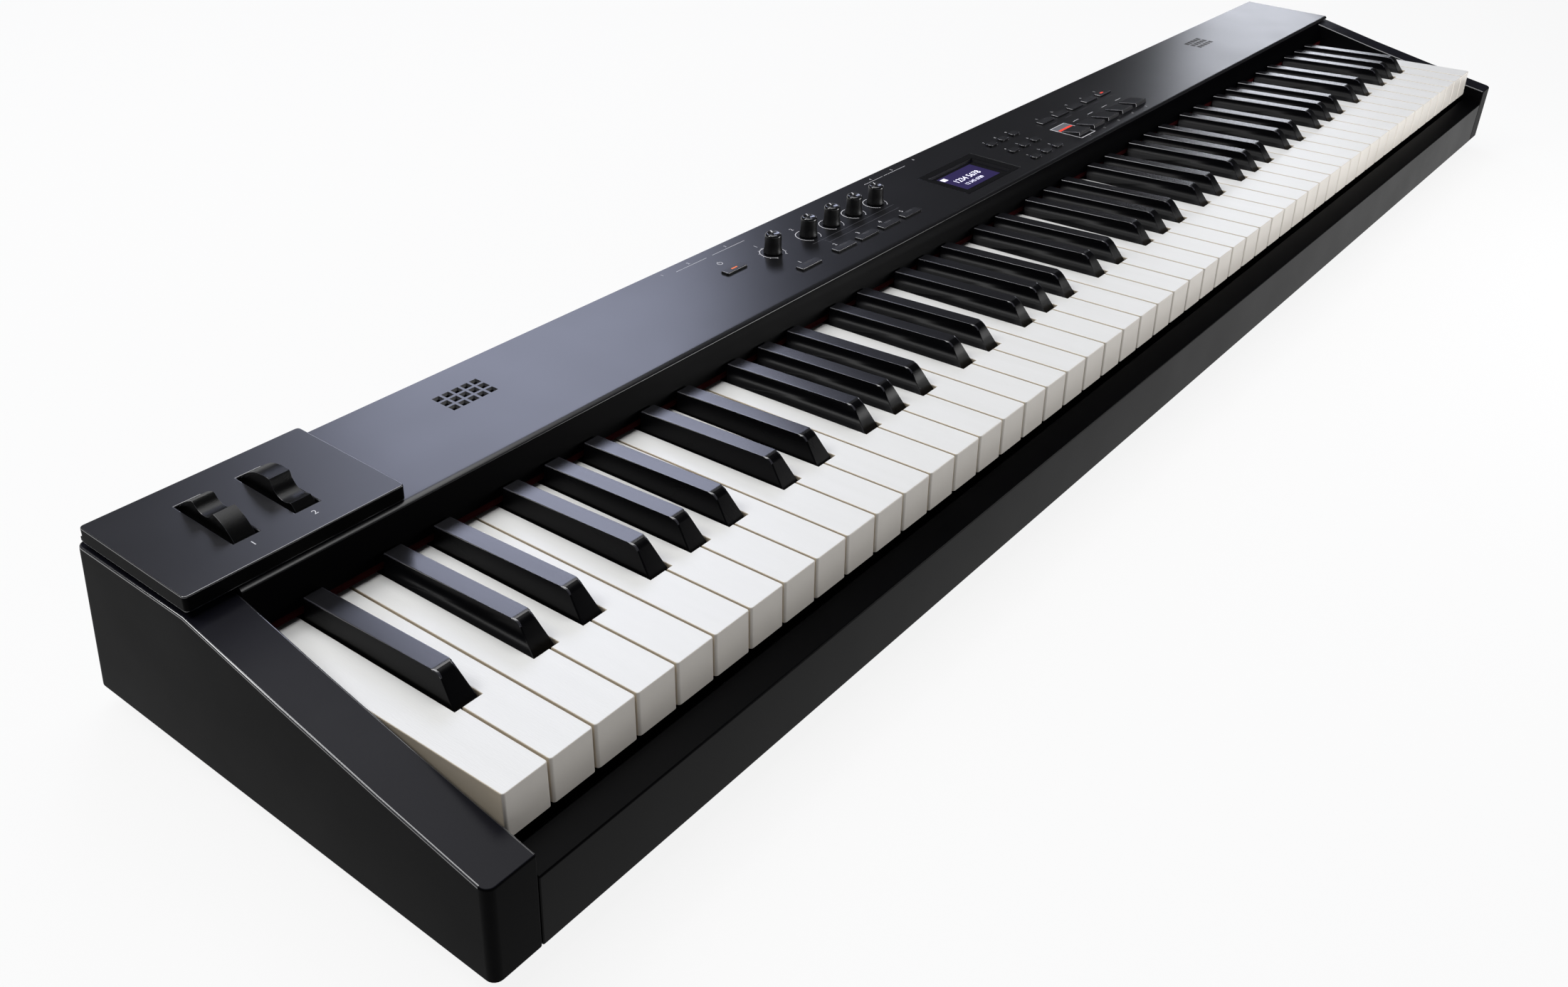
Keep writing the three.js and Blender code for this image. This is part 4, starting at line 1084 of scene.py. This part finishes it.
def screen_print():
    """Two rows of plain digits and a small square on the display."""
    bm = bmesh.new()
    add_bar(bm, (-21.6, -16.6), (74.6, 78.6), LIT)
    add_digits(bm, "1234 5678", -1.5, 68.4, 5.2, LIT)
    add_digits(bm, "12 345 6789", -3.5, 61.2, 3.2, LIT)
    thicken(bm)
    return make_piece(bm, "screen_digits", "display_window", "display_screen", digit_glow)


for made in (panel_print(), faint_print(), wheel_print(), screen_print()):
    tell(made)

# %% [markdown]
# ## Lamps and plates on the controls
# A function button has a narrow lamp slot, dark while the function is off. The power lamp and one
# menu lamp are lit. Each is a thin bar that rides on its button. The brushed plate behind the
# first tone pad and its red lamp belong to the panel, so they stay when the pads are pressed.

# %% Lamps and plates
def lamp_bar(name, node, x, y, top, made, height=0.12, slot="button_plastic"):
    bm = rounded_block(x, y, (top - 0.3, top + height), 0.08, 1)
    return make_piece(bm, name, node, slot, made)


for i, x in enumerate(KNOB_XS):
    lamp_bar(f"function_lamp_rim_{i + 1}", "function_button_strip", (x - 2.2, x + 3.8),
             (58.2, 59.8), CAP_TOP, grey_ink, 0.04)
    lamp_bar(f"function_lamp_{i + 1}", "function_button_strip", (x - 1.8, x + 3.4),
             (58.6, 59.4), CAP_TOP, dark_slot)
lamp_bar("power_lamp", "power_button", (-241.8, -236.6), (85.7, 86.7), CAP_TOP, orange_lamp)
lamp_bar("menu_lamp", "menu_button_strip", (MENU_XS[4] - 3.4, MENU_XS[4] + 1.2),
         (MENU_Y - 0.2, MENU_Y + 1.2), MENU_TOP, red_lamp)
lamp_bar("tone_plate", "top_panel", (125.5, 147.1), (63.8, 71.4), PANEL, silver_plate,
         slot="panel_metal")
lamp_bar("tone_lamp", "top_panel", (127.0, 146.0), (63.1, 65.6), PANEL, red_lamp, 0.25,
         "panel_metal")

# %% [markdown]
# ## Sockets
# The holes in the rear plate are there in the CAD model. A socket shows as a thin sleeve, black
# for the power inlet and brass for the jacks, and the flat opening has a tongue. The section is a
# closed loop, so the spun tube has a wall and no open edges.

# %% Sockets
SOCKET_Z = 32
SOCKET_XS = [-232 + 26 * i for i in range(7)]
FLAT_SOCKET = 1
INLET_BORE, JACK_BORE = 3.0, 3.25


def socket_sleeve(number, x, bore, made):
    outer, inner = bore - 0.02, bore - 0.55
    profile = [(outer, 112), (outer, 128.4), (inner, 127.9), (inner, 112.4)]
    bm = bmesh.new()
    verts = [bm.verts.new((r, y, 0)) for r, y in profile]
    edges = [bm.edges.new((verts[k], verts[(k + 1) % 4])) for k in range(4)]
    bmesh.ops.spin(bm, geom=verts + edges, cent=(0, 0, 0), axis=(0, 1, 0), angle=2 * math.pi,
                   steps=40, use_merge=True)
    outward(bm)
    move_all(bm, (x, 0, SOCKET_Z))
    return make_piece(bm, f"socket_sleeve_{number}", "socket_board", "socket_plastic", made)


for i, x in enumerate(SOCKET_XS):
    if i == 0:
        socket_sleeve(i, x, INLET_BORE, socket_black)
    elif i != FLAT_SOCKET:
        socket_sleeve(i, x, JACK_BORE, brass)
middle = SOCKET_XS[FLAT_SOCKET]
tongue = rounded_block((middle - 3.6, middle + 3.6), (112.5, 126.5),
                       (SOCKET_Z - 1, SOCKET_Z + 1), 0.3)
make_piece(tongue, "usb_tongue", "socket_board", "socket_plastic", socket_black)

# %% [markdown]
# ## Screws
# Twelve round-headed screws hold the tray from below. They come from the same lathe as the
# knobs, with fewer steps, since they only show from underneath.

# %% Screws
SCREW_PROFILE = ((0, 12.4), (2.9, 12.4), (2.9, 11.9), (2.4, 11.4), (0.9, 11.25), (0, 11.25))
SCREW_XS = [-550 + 220 * i for i in range(6)]
SCREW_YS = (-80, 85)

for i, (y, x) in enumerate([(y, x) for y in SCREW_YS for x in SCREW_XS]):
    make_piece(lathe(SCREW_PROFILE, x, y, 24), f"tray_screw_{i + 1}", "bottom_case",
               "case_metal", steel)

# %% [markdown]
# ## Feet
# Four rubber feet carry the instrument. Each is a turned disc, and its rounded foot keeps the
# edge from tearing when it is pushed along a table.

# %% Feet
FOOT_X, FOOT_Y = 560.5, 100.5
FOOT_PROFILE = ((0, 0), (10.6, 0), (11.6, 0.6), (12, 1.8), (12, 8.5), (11.4, 9.2),
                (11.4, 11.7), (0, 11.7))

for row, y in (("front", -FOOT_Y), ("rear", FOOT_Y)):
    for side, x in (("left", -FOOT_X), ("right", FOOT_X)):
        node = f"{row}_{side}_foot"
        tell(make_piece(lathe(FOOT_PROFILE, x, y), f"{node}_rubber", node, "foot_rubber",
                        foot_rubber, replaces=True))

# %% [markdown]
# ## The floor
# The instrument is photographed on white. Most of what the camera and the mirrored rays see of
# the pale floor is even white. The rest is its real, lit surface, which keeps the soft shadow.
# More light would whiten it too, but wash out the keys.

# %% Floor
FLOOR_HALF = 30
WHITE_SHARE = 0.88


def floor_paper():
    made = bpy.data.materials.new("floor_paper")
    made.use_nodes = True
    nodes, link = made.node_tree.nodes, made.node_tree.links.new
    grey = set_inputs(nodes["Principled BSDF"], Base_Color=(0.72, 0.72, 0.72, 1),
                      Roughness=0.9, Specular_IOR_Level=0.1)
    white = set_inputs(nodes.new("ShaderNodeEmission"), Strength=1.0)
    path = nodes.new("ShaderNodeLightPath")
    seen = path.outputs["Is Camera Ray"]
    for ray in ("Is Glossy Ray", "Is Transmission Ray"):
        either = nodes.new("ShaderNodeMath")
        either.operation = "MAXIMUM"
        link(seen, either.inputs[0])
        link(path.outputs[ray], either.inputs[1])
        seen = either.outputs[0]
    share = nodes.new("ShaderNodeMath")
    share.operation = "MULTIPLY"
    share.inputs[1].default_value = WHITE_SHARE
    link(seen, share.inputs[0])
    mix = nodes.new("ShaderNodeMixShader")
    link(share.outputs[0], mix.inputs["Fac"])
    link(grey.outputs[0], mix.inputs[1])
    link(white.outputs[0], mix.inputs[2])
    link(mix.outputs[0], nodes["Material Output"].inputs["Surface"])
    return made


def floor():
    bm = bmesh.new()
    bmesh.ops.create_grid(bm, x_segments=1, y_segments=1, size=FLOOR_HALF)
    mesh = bpy.data.meshes.new("floor")
    bm.to_mesh(mesh)
    bm.free()
    mesh.materials.append(floor_paper())
    ground = bpy.data.objects.new("floor", mesh)
    scene.collection.objects.link(ground)
    return ground


print("floor size in m:", [round(v, 1) for v in floor().dimensions])

# %% [markdown]
# ## The room
# The photographed panel mirrors a dark room with a few bright cards. So the world is white only
# where the camera sees it directly. To every other ray it is nearly black, which leaves the
# reflections to the cards.

# %% World
ROOM = 0.045
world = bpy.data.worlds.new("studio")
scene.world = world
world.use_nodes = True
nodes, links = world.node_tree.nodes, world.node_tree.links
path = nodes.new("ShaderNodeLightPath")
strength = set_inputs(nodes.new("ShaderNodeMapRange"), To_Min=ROOM, To_Max=1.0)
links.new(path.outputs["Is Camera Ray"], strength.inputs["Value"])
links.new(strength.outputs["Result"], nodes["Background"].inputs["Strength"])
set_inputs(nodes["Background"], Color=(1, 1, 1, 1))
scene.view_settings.view_transform = "Standard"
print("view transform:", scene.view_settings.view_transform)

# %% [markdown]
# ## Lamps and cards
# Six soft lamps do the rest. The overhead softbox lights the key tops. The panel and the black
# keys mirror the rear card as a bluish sheen, and the right card at the far end. The left card
# brightens the wheel panel, the edge light draws thin lines along the left edges, and the front
# fill lifts the key fronts. Each is given by direction and distance from what it lights, since
# plain coordinates would hide that.

# %% Six lamps
def lamp(name, azimuth, elevation, distance, size, power, colour=(1, 1, 1), aim=(0, 0, 0)):
    """A soft rectangular lamp in a given direction from the place that it lights."""
    data = bpy.data.lights.new(name, "AREA")
    data.shape = "RECTANGLE"
    data.size, data.size_y = size
    data.energy = power
    data.color = colour
    a, e = math.radians(azimuth), math.radians(elevation)
    out = Vector((math.cos(a) * math.cos(e), math.sin(a) * math.cos(e), math.sin(e)))
    made = bpy.data.objects.new(name, data)
    made.location = Vector(aim) + out * distance
    made.rotation_mode = "QUATERNION"
    made.rotation_quaternion = out.to_track_quat("Z", "Y")
    scene.collection.objects.link(made)
    return made


lamp("overhead_softbox", 90, 79, 2.4, (2.5, 1.6), 44.5, aim=(-0.1, 0, 0))
lamp("rear_card", 48.5, 30.5, 3.4, (1.18, 1.0), 18.7, (0.72, 0.765, 1.0), (-0.4, 0.06, 0.095))
lamp("left_card", 47, 57, 3.4, (0.5, 0.4), 3.0, (0.85, 0.88, 1.0), (-0.62, 0, 0.09))
lamp("right_card", 18.8, 13, 3.4, (0.46, 0.4), 4.1, (0.88, 0.91, 1.0), (0.6, 0.07, 0.1))
lamp("edge_light", 142, 42, 2.6, (0.8, 0.8), 21, aim=(0, 0, 0.09))
lamp("front_fill", -72, 14, 0.62, (0.5, 0.24), 3.5, aim=(0.22, -0.11, 0.06))
print("lamps:", len(bpy.data.lights))
